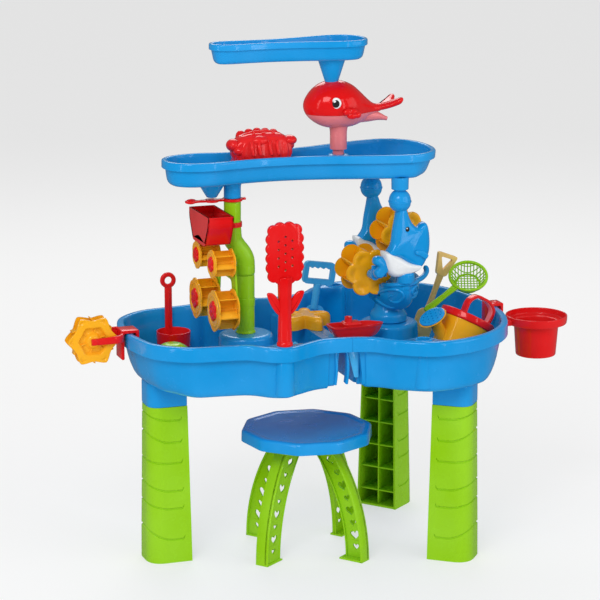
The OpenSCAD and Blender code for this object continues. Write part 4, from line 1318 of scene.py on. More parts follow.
@dataclass
class Dolphin(Maker):
    """One of the two dolphins that stand on the wave and hold up the middle tray."""

    body: str = "table"
    side: int = -1
    end: str = "front"
    y: float = 63.0
    thick: float = 23.0

    def outline(self) -> Array:
        """The body seen from the side: forehead, crest, back and the line above the belly."""
        return evenly(curve_through([
            (117, 564), (125, 556), (131, 541), (138, 530), (144, 526), (151, 531), (158, 532), (164, 518),
            (166, 500), (164, 481), (156, 465), (146, 459), (131, 466), (115, 476), (100, 482),
            (93, 486), (97, 494), (100, 504), (102, 520), (106, 540), (110, 556)], 8), 200)

    def puffed(self, ring: Array, half: float, soft: float, levels: int = 9) -> Shell:
        """A flat outline swollen both ways: its thickness falls as a quarter ellipse to the edge."""
        n = inward(ring)
        room = room_inside(ring, n, soft)
        a = np.linspace(-np.pi / 2, np.pi / 2, 2 * levels)
        level = half * np.sin(a)
        flat = ring[None] + n[None] * (room[None] * (1 - np.cos(a))[:, None])[..., None]
        points = np.concatenate([flat, np.repeat(level[:, None, None], len(ring), 1)], -1)
        return grid(points)

    def build(self) -> None:
        """The body, the ball joint, the fluke, the fin, the belly and the eye."""
        s = self.side
        middle = s * self.y
        face = middle + s * self.thick / 2

        def lay(shell: Shell, y: float) -> Shell:
            """A flat piece stood up at that place along Y."""
            return upright(shell).moved((0, y, 0))

        body = lay(self.puffed(self.outline(), self.thick / 2, 13, 14), middle)
        self.put(f"dolphin_{self.end}", body, BLUE, (f"dolphin_{self.end}",))
        knob = revolve([(0, 552, 0), (9, 552.5, 5), (16.6, 560, 8), (18, 569, 6), (16.6, 578, 6),
                        (12, 584.4, 4), (9, 586, 1), (9, 600, 1), (0, 600, 0)], 56)
        self.put(f"dolphin_ball_{self.end}", knob.moved((115, middle, 0)), BLUE)
        seam = lathe_ring([(18.5, 567.8, 0), (18.5, 570.2, 0.5), (17.4, 570.2, 0), (17.4, 567.8, 0)], 56)
        self.put(f"ball_seam_{self.end}", seam.moved((115, middle, 0)), BLUE)
        stub = revolve([(0, 425, 0), (9, 425, 1), (9, 436.4, 0), (15, 436.4, 1), (15, 452, 3),
                        (8, 456, 3), (0, 456, 0)], 48)
        self.put(f"dolphin_stub_{self.end}", stub.moved((125.5, middle, 0)), BLUE)
        fluke = evenly(curve_through([(100, 464), (92, 454), (83, 447), (73, 449), (71, 458), (77, 465),
                                      (70, 471), (71, 480), (81, 483), (92, 476), (100, 470)], 8), 130)
        self.put(f"fluke_{self.end}", lay(self.puffed(fluke, 9, 5), middle), BLUE)
        belly = evenly(curve_through([(87, 489), (102, 486), (117, 478), (132, 469), (149, 464),
                                      (144, 455), (125, 448), (104, 447), (93, 456), (87, 472)], 8), 140)
        white = self.puffed(belly, self.thick / 2 + 2.5, 9)
        self.put(f"belly_{self.end}", lay(white, middle), WHITE, (f"belly_{self.end}",))
        fin = evenly(curve_through([(138, 490), (150, 489), (160, 481), (155, 474), (147, 479),
                                    (138, 483)], 8), 80)
        self.put(f"fin_{self.end}", lay(self.puffed(fin, 2.6, 2.4), face + s * 0.4), BLUE)
        eye = ball((0, 0, 0), (3.6, 1.2, 4.2), rows=14, cols=24).moved((124, face - s * 0.2, 525))
        glint = ball((122.8, face + s * 0.9, 526.6), (1.1, 0.5, 1.1), rows=8, cols=12)
        self.put(f"eye_{self.end}", eye, BLACK, ("dolphin_eyes",) if s < 0 else ())
        self.put(f"eye_glint_{self.end}", glint, WHITE)
        for x, z, label in ((138.0, 506.0, "upper"), (78.0, 448.0, "lower")):
            boss = revolve([(0, 0, 0), (7, 0, 1), (8, 18, 3), (0, 18, 0)], 40)
            boss = boss.turned("x", 90 if s > 0 else -90).moved((x, s * 35, z))
            low, high = sorted((s * 33.4, s * 54))
            y = boss.verts[:, 1]
            boss.verts[:, 1] = (y - y.min()) / np.ptp(y) * (high - low) + low
            self.put(f"axle_boss_{label}_{self.end}", boss, BLUE)
        arm = block((71, min(s * 53, s * 56), 446), (97, max(s * 53, s * 56), 466), 1)
        self.put(f"axle_arm_{self.end}", arm, BLUE)


# ---- whale ----

@dataclass
class Whale(Maker):
    """The whale: red above, pink below, on a neck that turns in the middle tray."""

    body: str = "whale"
    centre: tuple = (36.0, 0.0, 719.0)
    split: float = 706.4
    head_x: float = 22.0
    neck_x: float = 34.0

    def form(self) -> Shell:
        """The body: rings across the long axis whose radii swell at the head and thin at the tail."""
        knots = np.array([(-24.5, 0.4, 719, 0.4), (-23, 8, 719, 8), (-18, 17, 719, 16.5),
                          (-8, 27, 720, 26.5), (6, 35, 720.5, 34.5), (22, 38.6, 720.5, 38),
                          (40, 38, 719.5, 37.4), (56, 32.5, 717, 33), (70, 24, 713.5, 24.5),
                          (82, 16, 711.5, 15), (93, 10.5, 709.8, 8.6), (104, 8, 711.5, 6),
                          (114, 5, 715, 4), (118, 0.4, 717, 0.4)])
        line = curve_through(knots, 6, False)
        a = full_turn(72)[None]
        x, ry, zc, rz = (line[:, k:k + 1] for k in range(4))
        return grid(np.stack([x + 0 * a, ry * np.cos(a), zc + rz * np.sin(a)], -1))

    def half(self, name: str, above: bool) -> bpy.types.Mesh:
        """The body above or below the split."""
        low, high = (self.split + 0.15, 800) if above else (600, self.split - 0.15)
        keep = slab(np.array([(-60, -80), (160, -80), (160, 80), (-60, 80)], float), low - 300 if above
                    else high, low if above else high + 300, 0.01, 2)
        return cut_holes(self.form(), [keep], name)

    def flat(self, ring: Array, bulge: float, thick: float, lift: Callable) -> Shell:
        """A swollen leaf lying level, bent upwards by a function of its place."""
        n = inward(ring)
        a = np.linspace(-np.pi / 2, np.pi / 2, 14)
        flat = ring[None] + n[None] * (bulge * (1 - np.cos(a)))[:, None, None]
        z = thick * np.sin(a)[:, None] + lift(flat[..., 0], flat[..., 1])
        return grid(np.concatenate([flat, z[..., None]], -1))

    def build(self) -> None:
        """Both halves, the neck, the spout, the tail, the fins, the eyes and the mouth line."""
        self.adopt("whale_upper", self.half("whale_upper", True), RED, ("whale_upper",))
        self.adopt("whale_lower", self.half("whale_lower", False), PINK, ("whale_lower",))
        cup = lathe_ring([(17, 736, 0), (16, 748, 4), (15, 755, 1.5), (11.5, 755, 1), (11.4, 736, 0)])
        self.put("head_socket", cup.moved((self.head_x, 0, 0)), RED)
        neck = lathe_ring([(13.5, 648.2, 1), (13.5, 676, 4), (16, 690, 0), (10, 690, 0), (6.6, 650, 0),
                           (6.6, 610, 0), (9, 610, 0.5), (9, 648.2, 0)])
        self.put("whale_neck", neck.moved((self.neck_x, 0, 0)), PINK)
        path = curve_through([(58, 0, 702), (84, 0, 699.5), (100, 0, 697), (115, 0, 692.6)], 6, False)
        sizes = np.linspace(1.7, 0.36, len(path))
        self.put("spout", sweep(path, 8.5, sizes, 28, (0, 1, 0)), PINK)
        lip = lathe_ring([(3.4, 0, 0.5), (3.4, 2.4, 0.8), (1.8, 2.4, 0.5), (1.8, 0, 0)], 32)
        self.put("spout_lip", lip.turned("y", 106).moved((114.2, 0, 692.8)), PINK)
        half = [(96, 0), (103, 7), (112, 14), (121, 21), (129, 25.5), (135, 24), (136, 16), (131, 8),
                (126, 0)]
        ring = evenly(curve_through([*half, *[(x, -y) for x, y in half[::-1] if y > 0]], 8), 150)
        tail = self.flat(ring, 6, 5.4, lambda x, y: 709.5 + (x - 96) * 0.2
                         + np.clip(x - 96, 0, 60)**2 * 0.004 + 0.003 * y * y)
        self.put("whale_tail", tail, RED)
        for s, side in ENDS:
            lobes = [((35, 41, 712.5), (8.5, 5, 6)), ((43.5, 42, 713), (7.4, 5, 5.4)),
                     ((50.5, 41, 707.5), (6.4, 4.4, 5.6)), ((42.5, 41, 706.5), (9.4, 5, 5.6))]
            fin = join(*[ball((x, s * y, z), r) for (x, y, z), r in lobes])
            self.put(f"whale_fin_{side}", fin, RED)
            self.eye(s, side)
            t = np.linspace(0, 1, 30)
            x = -10 + 34 * t
            z = self.split + 1 + 3 * (1 - t)**2
            y = self.skin(x, z) + 0.1
            mouth = np.c_[x, s * y, z]
            self.put(f"mouth_{side}", sweep(mouth, 0.8, round_ends(30), 8, (0, s, 0.2)), RED)

    def skin(self, x: Array, z: Array) -> Array:
        """How far out the body's side is at a place, from the same swelling radii."""
        xs = np.array([-24.5, -18, -8, 6, 22, 40, 56, 70, 82, 93])
        wide = np.interp(x, xs, [0.4, 17, 27, 35, 38.6, 38, 32.5, 24, 16, 10.5])
        return wide * np.sqrt(np.clip(1 - ((z - 720) / np.maximum(wide, 1))**2, 0, 1))

    def eye(self, s: int, side: str) -> None:
        """A white dome with a dark pupil and a glint, square to the skin."""
        x, z = 16.0, 727.0
        y = float(self.skin(np.array([x]), np.array([z]))[0])
        tilt = 24.0

        def set_in(shell: Shell, out: float) -> Shell:
            """A dome drawn along Y, turned to face out of the skin."""
            return shell.moved((0, -out, 0)).turned("z", -tilt if s < 0 else 180 + tilt).turned(
                "x", 8 * s).moved((x, s * y, z))

        white = set_in(ball((0, 0, 0), (8.6, 3.0, 8.8), rows=20, cols=36), -0.8)
        self.put(f"whale_eye_{side}", white, WHITE, ("whale_eyes",) if s < 0 else ())
        pupil = set_in(ball((0, 0, -0.6), (6.4, 2.4, 6.6), rows=18, cols=32), 0.5)
        self.put(f"whale_pupil_{side}", pupil, BLACK)
        glint = set_in(ball((-1.6, 0, 2.8), (2.0, 0.9, 2.2), rows=12, cols=20), 2.3)
        self.put(f"whale_glint_{side}", glint, WHITE)


# ---- toys ----

@dataclass
class CrabMould(Maker):
    """The red crab mould: a ridged dome with claws, legs and a raised back plate."""

    body: str = "crab"
    base: float = 609.4
    middle: float = -96.0
    y: float = 0.0

    def build(self) -> None:
        """The hollow shell, the lobes, the claws and the ridges."""
        a = full_turn(120)[None]
        outer_line = rounded([(1.0, 609.4, 0), (1.0, 634, 3), (0.93, 640, 4), (0.98, 655, 10),
                              (0.86, 674, 12), (0.5, 682, 20), (0.001, 683, 0)], 7)
        inner_line = outer_line[::-1] * [0.9, 1] - [0, 3]
        line = np.vstack([outer_line, inner_line[:-1], [[0.9, 609.4]], [[1.0, 609.4]]])
        k, z = line[:, :1], line[:, 1:]
        z = np.maximum(z, self.base)
        power = 0.62
        px = np.sign(np.cos(a)) * np.abs(np.cos(a))**power
        py = np.sign(np.sin(a)) * np.abs(np.sin(a))**power
        frill = 1 + 0.035 * np.cos(14 * a) * smooth((z - 640) / 8) * smooth((672 - z) / 8)
        points = np.stack([self.middle + 50 * k * px * frill, 25.6 * k * py * frill,
                           z + 0 * a], -1)
        self.put("crab_mould", grid(points, caps=(False, False)), RED, ("crab_mould",))
        parts = []
        for i in range(5):
            x = -124 + 13.5 * i
            parts.append(ball((x, 17, 672 + 4.5 * math.sin(math.radians(36 * i + 18))), (8.2, 9, 10)))
        parts.append(ball((-143, -2, 664), (11, 13, 10)))
        parts.append(ball((-136, -12, 656), (10, 10, 8)))
        parts.append(ball((-51, -6, 668), (12, 13, 8)))
        parts.append(ball((-50, 6, 658), (11, 12, 8)))
        parts.append(ball((-104, -17, 671), (15, 9, 8)))
        for x in (-118, -106, -88, -76):
            path = curve_through([(x, -22, 672), (x - 2, -27, 662), (x + 1, -27.5, 648)], 8, False)
            parts.append(sweep(path, 2.6, round_ends(len(path)), 12, (1, 0, 0)))
        ridge = curve_through([(-134, -3, 674), (-118, -4, 681), (-96, -4, 684), (-74, -3, 681),
                               (-60, -2, 675)], 8, False)
        parts.append(sweep(ridge, 2.2, round_ends(len(ridge)), 12, (0, 1, 0)))
        for x in (-112, -96, -80):
            dot = ball((x, -12, 681), (3, 3, 2.4), rows=10, cols=16)
            parts.append(dot)
        self.put("crab_lobes", join(*parts), RED)


@dataclass
class RimWheel(Maker):
    """The bracket hooked on the left rim, and the flower wheel that turns on it."""

    body: str = "hanger"
    at: tuple = (-380.0, -15.0, 372.0)
    top: float = 377.4

    def build(self) -> None:
        """The bracket of one bent strap, the pin, and the dished wheel."""
        t = self.top
        outer = round_corners([(-333, t + 5), (-304, t + 5), (-304, t - 32), (-309, t - 32),
                               (-309, t), (-328, t), (-328, t - 42), (-333, t - 42)], 2.2)
        strap = slab(outer, -16, 16, 1)
        parts = [upright(strap)]
        arm = round_corners([(-388, 364), (-388, 380), (-372, 382), (-340, 380), (-330, 380),
                             (-330, 364), (-345, 366), (-372, 362)], 6)
        parts.append(upright(slab(arm, -14, -8, 1.4)))
        parts.append(block((-333, 6, 364), (-328, 15, 380), 1))
        gusset = round_corners([(-352, 380), (-331, 380), (-331, 384), (-345, 384)], 3)
        parts.append(upright(slab(gusset, -13, -9, 1)))
        plan = curve_through([(-385, -30, 372), (-362, -30, 372.4), (-345, -29.6, 373), (-336, -25, 373),
                              (-331.5, -15, 373)], 8, False)
        bar = round_corners([(-2.4, -5.6), (2.4, -5.6), (2.4, 5.6), (-2.4, 5.6)], 1.6)
        parts.append(sweep(plan, bar, np.linspace(0.9, 1.25, len(plan)), up=(0, 0, 1)))
        self.put("rim_bracket", join(*parts), RED, ("rim_bracket",))
        pin = revolve([(0, 0, 0), (3, 0, 0), (3, 36, 0), (5, 36, 0.5), (5, 41.4, 1), (0, 41.4, 0)], 32)
        pin = pin.turned("x", 90).moved((self.at[0], 8, self.at[2]))
        self.put("rim_axle", pin, RED, ("rim_axle",))
        wheel = Maker("hanger_wheel")
        a = full_turn(168)
        swell = 1 - 0.2 * (0.5 - 0.5 * np.cos(6 * a))**0.62
        k = np.r_[1, 0.992, 0.965, np.linspace(0.93, 0.24, 26), 0.2, 0.12]
        ring = 41 * k[:, None] * (swell[None] * k[:, None] + 1 - k[:, None])
        lobe = np.clip(np.cos(6 * a), 0, 1)[None]**3
        dimple = 2.2 * np.exp(-((k[:, None] - 0.86) / 0.045)**2) * lobe
        well = 7 * smooth((0.62 - k[:, None]) / 0.14) * smooth((k[:, None] - 0.2) / 0.16)
        y = 26 + 0 * ring - dimple - well
        y[0], y[1], y[-1] = 24.2, 25.4, 27
        front = polar(ring, a, y)
        bore = front[-1:].copy()
        bore[..., :2] *= 3.12 / np.linalg.norm(bore[..., :2], axis=-1, keepdims=True)
        under = front[::-1].copy()
        under[..., 2] = 21.6 - 7 * smooth((0.62 - k[::-1, None]) / 0.14) * smooth(
            (k[::-1, None] - 0.2) / 0.16)
        floor = bore.copy()
        floor[..., 2] = 20
        face = grid(np.concatenate([front, bore, floor, under, front[:1]]), caps=(False, False))
        far = Shell(face.verts * [1, 1, -1] + [0, 0, 27.5], face.faces)
        parts = [face, far]
        for turn in range(0, 360, 60):
            cup = curve_through([(9, -1), (20, -4), (30, -3), (36, 3)], 8, False)
            ends = round_ends(len(cup), 0.4)
            blade = sweep(np.c_[cup, np.full(len(cup), 13.75)], round_corners(
                [(-1.1, -8.4), (1.1, -8.4), (1.1, 8.4), (-1.1, 8.4)], 0.6), np.maximum(ends, 0.9),
                up=(0, 0, 1))
            parts.append(blade.turned("z", turn + 30))
        hub = lathe_ring([(8, 4, 0.6), (8, 24, 0.6), (3.3, 24, 0), (3.3, 4, 0)], 40)
        parts.append(hub)
        form = upright(join(*parts)).moved((self.at[0], self.at[1] + 16, self.at[2]))
        wheel.put("rim_wheel", form, YELLOW, ("rim_wheel",))


@dataclass
class Cup(Maker):
    """The red cup hooked over the right rim."""

    body: str = "side_cup"
    at: tuple = (375.0, -25.0, 355.0)
    rim: float = 377.4

    def build(self) -> None:
        """The cup with its stepped rim and pouring lip, its strap and the little rivet bump."""
        z = self.at[2]
        line = rounded([(0.01, 287, 0), (33, 287, 3), (37, z - 14, 2), (50, z - 14, 2.5),
                        (51, z - 6, 1), (51, z, 1.5), (48.4, z, 1.2), (48, z - 11, 3), (35, z - 11.2, 2),
                        (31, 290.5, 3), (0.01, 290, 0)], 6)
        a = full_turn(96)[None]
        r, h = line[:, :1], line[:, 1:]
        lip = 3.0 * np.exp(-((a - 1.5 * np.pi) / 0.22)**2) * (r > 47) * smooth((h - z + 13) / 10)
        x, y = r * np.cos(a), (r + lip * 0.5) * np.sin(a)
        shell = grid(np.stack([x, y, h + 0 * a], -1)).moved((self.at[0], self.at[1], 0))
        self.put("cup", shell, RED, ("cup",))
        t, y0 = self.rim, self.at[1]
        hook = round_corners([(282, t + 5), (309.5, t + 5), (309.5, z - 4), (326, z - 4), (326, z - 13),
                              (305.5, z - 13), (305.5, t), (286, t), (286, t - 30), (282, t - 30)], 2.4)
        self.put("cup_strap", upright(slab(hook, -y0 - 13, -y0 + 13, 1)), RED)
        self.put("cup_bump", ball((300, y0, t + 5), (5, 7, 1.6), rows=12, cols=24), RED)


@dataclass
class FlowerShovel(Maker):
    """The red shovel that stands in the front left socket: stem, leaves and a scalloped head."""

    body: str = "rake"
    at: tuple = (-116.0, -170.0)
    head_z: float = 523.0

    def build(self) -> None:
        """The head with its recess and holes, the fluted stem, the leaves and the peg."""
        a = full_turn(260)
        power = 0.42
        cx = 24 * np.sign(np.cos(a)) * np.abs(np.cos(a))**power
        cz = 42 * np.sign(np.sin(a)) * np.abs(np.sin(a))**power
        base = evenly(np.stack([cx, cz], 1), 260)
        run = np.linspace(0, 1, 260, endpoint=False)
        scallop = 3.6 * np.abs(np.sin(run * np.pi * 16))**0.8 + 3
        outline = base - inward(base) * scallop[:, None]
        holes = [slab(circle(1.9, 16), -2, 12, 0.2, 2).moved((c, 13 * (i - (m - 1) / 2), 0))
                 for c, m in ((-11, 4), (0, 5), (11, 4)) for i in range(m)]
        inner = round_corners([(-19, -37), (19, -37), (19, 37), (-19, 37)], 9)
        holes.append(slab(inner, 3.4, 20, 5, 8))
        mesh = cut_holes(upright(slab(outline, 0, 9, 2.4, 5)).moved(
            (self.at[0], self.at[1] + 4.5, self.head_z)),
            [upright(h).moved((self.at[0], self.at[1] + 4.5, self.head_z)) for h in holes],
            "flower_shovel")
        self.adopt("flower_shovel", mesh, RED, ("flower_shovel",))
        a = full_turn(64)[None]
        line = rounded([(0.01, 319.4, 0), (10, 319.4, 2), (10, 377.5, 0), (12.6, 377.8, 0.6),
                        (12.6, 382, 1.4), (11, 384, 1), (10.2, 430, 4), (11, 470, 4), (12, 486, 2),
                        (0.01, 486, 0)], 5)
        r, z = line[:, :1], line[:, 1:]
        flute = 1 - 0.07 * (0.5 + 0.5 * np.cos(6 * a)) * smooth((z - 384) / 6)
        stem = grid(np.stack([r * flute * np.cos(a), r * flute * np.sin(a), z + 0 * a], -1))
        self.put("shovel_stem", stem.moved((*self.at, 0)), RED)
        for s, side in ((-1, "left"), (1, "right")):
            leaf = evenly(curve_through([(s * 4, 424), (s * 14, 430), (s * 24, 445), (s * 30, 462),
                                         (s * 20, 462), (s * 11, 452), (s * 4, 440)], 8), 80)
            n = inward(leaf)
            t = np.linspace(-np.pi / 2, np.pi / 2, 12)
            flat = leaf[None] + n[None] * (2.6 * (1 - np.cos(t)))[:, None, None]
            level = 3 * np.sin(t)[:, None] + 0.12 * np.abs(flat[..., 0])
            form = grid(np.concatenate([flat, level[..., None]], -1))
            self.put(f"shovel_leaf_{side}", upright(form).moved((*self.at, 0)), RED)


@dataclass
class SandToys(Maker):
    """The moulds, the scoop, the boat and the two small shovels that lie in the basin."""

    body: str = "table"
    floor: float = 296.4
    shelf: float = 354.4

    def on(self, body: str) -> Maker:
        """A maker for another toy's body."""
        return Maker(body)

    def scoop(self) -> None:
        """A round cup with a bead, a ribbed handle and a ring."""
        at = (-213, 101, self.floor)
        cup = revolve([(0, 0, 0), (26, 0, 3), (28, 47, 1), (28, 50, 1), (25.6, 50, 1), (23.6, 3, 3),
                       (0, 2.6, 0)], 72)
        parts = [cup, block((-6, 24.6, 8), (6, 30, 117), 1.4), block((-2, 23.5, 50), (2, 31, 112), 1)]
        hoop = lathe_ring([(13, 0, 2), (13, 5, 2), (6, 5, 1.6), (6, 0, 1.6)], 48)
        parts.append(upright(hoop).moved((0, 30, 128)))
        self.on("scoop_toy").put("scoop", join(*parts).moved(at), RED, ("scoop",))

    def moulds(self) -> None:
        """The dome, the rippled shell and the star."""
        dome = revolve([(31, 0, 1), (36, 0, 1.5), (36, 24, 6), (29, 42, 16), (15, 53.4, 14), (0, 54, 0),
                        (0, 51, 0), (13, 50.4, 12), (26, 40, 12), (31, 27, 4), (31, 0, 0)], 72)
        bead = lathe_ring([(37, 0, 0.8), (37, 3, 1), (34, 3, 0), (34, 0, 0)], 72)
        self.on("dome_toy").put("dome_mould", join(dome, bead).moved((-242, 10, self.floor)), LIME,
                                ("dome_mould",))
        t = np.linspace(0, 1, 60)[:, None]
        a = full_turn(144)[None]
        r = 38 * (1 - t)**0.72 + 2.2 * np.abs(np.sin(t * np.pi * 6)) * (1 - t)**0.5
        r = r * (1 + 0.06 * np.cos(12 * a) * (1 - t)**0.4)
        r = np.maximum(np.minimum(r, 38), 0.02)
        z = 64 * t**0.94 + 0 * a
        outer = polar(r, a, z)
        inner = np.stack([0.82 * r * np.cos(a), 0.82 * r * np.sin(a), np.maximum(z - 5, 0)], -1)[::-1]
        form = grid(np.concatenate([outer, inner, outer[:1]]), caps=(False, False))
        self.on("shell_toy").put("shell_mould", form.moved((-70, -86, self.floor)), SKY,
                                 ("shell_mould",))
        a = full_turn(150)
        star = (32 + 12 * np.cos(5 * a))[:, None] * unit_ring(a)
        line = rounded([(0, 0, 0), (0, 14, 2), (3, 20, 5), (9, 22, 4), (11, 20, 2), (16, 20, 0)], 6)
        rows = levels(star, 1 - line[:, :1] / 44, line[:, 1:])
        self.on("star_toy").put("star_mould", grid(rows).moved((-12, 30, self.shelf)), YELLOW,
                                ("star_mould",))

    def boat(self) -> None:
        """The hull with its pointed bow and gunwale, the cabin with windows and the funnel."""
        plan = evenly(curve_through([(-46, -12), (-40, -18), (-10, -19), (22, -17), (38, -8), (46, 0),
                                     (38, 8), (22, 17), (-10, 19), (-40, 18), (-46, 12), (-46, 0)], 8), 140)
        line = np.array([(0.66, 0), (0.74, 0), (0.86, 6), (0.95, 13), (0.98, 17), (1.0, 17.5), (1.0, 20),
                         (0.93, 20), (0.9, 17), (0.82, 9), (0.7, 4), (0.6, 3)])
        rows = levels(plan, line[:, :1], line[:, 1:])
        at = (42, -62, self.shelf)
        maker = self.on("boat")
        maker.put("boat_hull", grid(rows).moved(at), RED, ("boat_hull",))
        cabin = slab(round_corners([(-22, -11), (6, -11), (6, 11), (-22, 11)], 5), 3.2, 25, 2.4)
        roof = slab(round_corners([(-23, -12), (7, -12), (7, 12), (-23, 12)], 5), 20, 23, 1)
        funnel = revolve([(0, 24, 0), (6.4, 24, 0), (5.6, 32, 1), (6.2, 33, 0.5), (4, 33, 0.6),
                          (0, 31, 0)], 36).moved((-13, 0, 0))
        ports = [upright(revolve([(0, 0, 0), (3, 0, 0), (3, 1, 0.6), (0, 1, 0)], 20)).moved(
            (x, s * 11.2 + 0.5, 13)) for x in (-15, -3) for s in (-1, 1)]
        maker.put("boat_cabin", join(cabin, roof, funnel).moved(at), RED, ("boat_cabin",))
        maker.put("boat_ports", join(*ports).moved(at), YELLOW)

    def shovels(self) -> None:
        """The sky-blue D-grip shovel with finger grooves, and the tan one with its three-sided grip."""
        blade = slab(round_corners([(-15, 0), (19, 0), (19, 50), (12, 57), (-8, 57), (-15, 50)], 6),
                     -3, 0, 0.8)
        rib = sweep(np.array([(2.0, 1.6, z) for z in np.linspace(4, 56, 10)]), 2, round_ends(10), 12,
                    (0, 1, 0))
        shaft = revolve([(0, 50, 0), (7, 50, 2), (6, 60, 3), (6.4, 94, 2), (0, 94, 0)], 36)
        grip_out = round_corners([(-28, -19), (28, -19), (28, 19), (-28, 19)], 9, 6)
        x = np.linspace(20, -20, 40)
        fingers = np.stack([x, 9.2 + 1.3 * np.cos(x / 40 * 2 * np.pi * 4)], 1)
        hole = np.vstack([[(-20, -10), (20, -10)], fingers])
        grip = plate(grip_out, [hole[::-1]], -3, 6)
        form = join(upright(blade), rib.moved((0, -1, 0)), shaft.moved((0, 1.5, 0)),
                    upright(grip).moved((0, 3, 112)))
        form = form.turned("y", 9).moved((38, 146, 302))
        self.on("blue_spade").put("blue_shovel", form, SKY, ("blue_shovel",), bevel=0.9)
        blade = slab(round_corners([(-18, 0), (18, 0), (18, 46), (9, 53), (-9, 53), (-18, 46)], 6),
                     -3, 0, 0.8)
        neck = np.array([(0.0, 4.0, z) for z in np.linspace(42, 118, 20)])
        wide = 1 - 0.25 * np.sin(np.linspace(0, np.pi, 20))
        shaft = sweep(neck, round_corners([(-6, -3.8), (6, -3.8), (6, 3.8), (-6, 3.8)], 2.4), wide,
                      up=(0, 1, 0))
        outer = round_corners([(-9, 0), (9, 0), (19, 38), (-19, 38)], 5)
        hole = round_corners([(0, 9), (11, 31), (-11, 31)], 3)
        grip = plate(outer, [hole[::-1]], -8, 0)
        form = join(upright(blade), shaft, upright(grip).moved((0, 0, 112)))
        form = form.turned("y", 21).moved((206, 76, 304))
        self.on("tan_spade").put("tan_shovel", form, TAN, ("tan_shovel",), bevel=0.9)

    def build(self) -> None:
        """All of them."""
        self.scoop()
        self.moulds()
        self.boat()
        self.shovels()


@dataclass
class Sieve(Maker):
    """The lime sieve: a dished mesh in a rolled rim, on a flat ribbed handle."""

    body: str = "sieve_toy"
    place: tuple = (278.0, 36.0, 415.0)

    def stand(self, shell: Shell) -> Shell:
        """The tilt and the place of the sieve."""
        return shell.turned("x", 38).turned("z", -20).moved(self.place)

    def build(self) -> None:
        """The rim, the crossed bars of the mesh, the lower ring and the handle."""
        rim = lathe_ring([(33, -2.4, 1), (33, 0, 1), (29, 0, 1), (28.2, -2.4, 0.6), (30, -6, 0),
                          (31.2, -6, 0)], 72)
        base = lathe_ring([(21, -20, 1), (21, -22, 1), (18, -22, 0.8), (18, -20, 0.8)], 56)
        parts = [rim, base]
        for i in range(-5, 6):
            for turned in (False, True):
                c = i * 5.2
                half = math.sqrt(max(30.4**2 - c * c, 9))
                u = np.linspace(-half, half, 25)
                r = np.sqrt(u * u + c * c)
                depth = -21.2 + 19.8 * smooth((r - 17) / 14.5)
                path = np.stack([u, np.full(25, c), depth], 1)
                if turned:
                    path = path[:, [1, 0, 2]]
                parts.append(sweep(path, 0.9, 1.0, 6))
        grip = round_corners([(29, -6), (55, -4.6), (92, -6), (103, -6), (103, 6), (92, 6), (55, 4.6),
                              (29, 6)], 5)
        bar = slab(grip, -5.4, -1.4, 1.2)
        rib = slab(round_corners([(34, -1.2), (94, -1.2), (94, 1.2), (34, 1.2)], 1), -6, -0.6, 0.4)
        parts += [bar.turned("z", -135), rib.turned("z", -135)]
        self.put("sieve", self.stand(join(*parts)), LIME, ("sieve",))


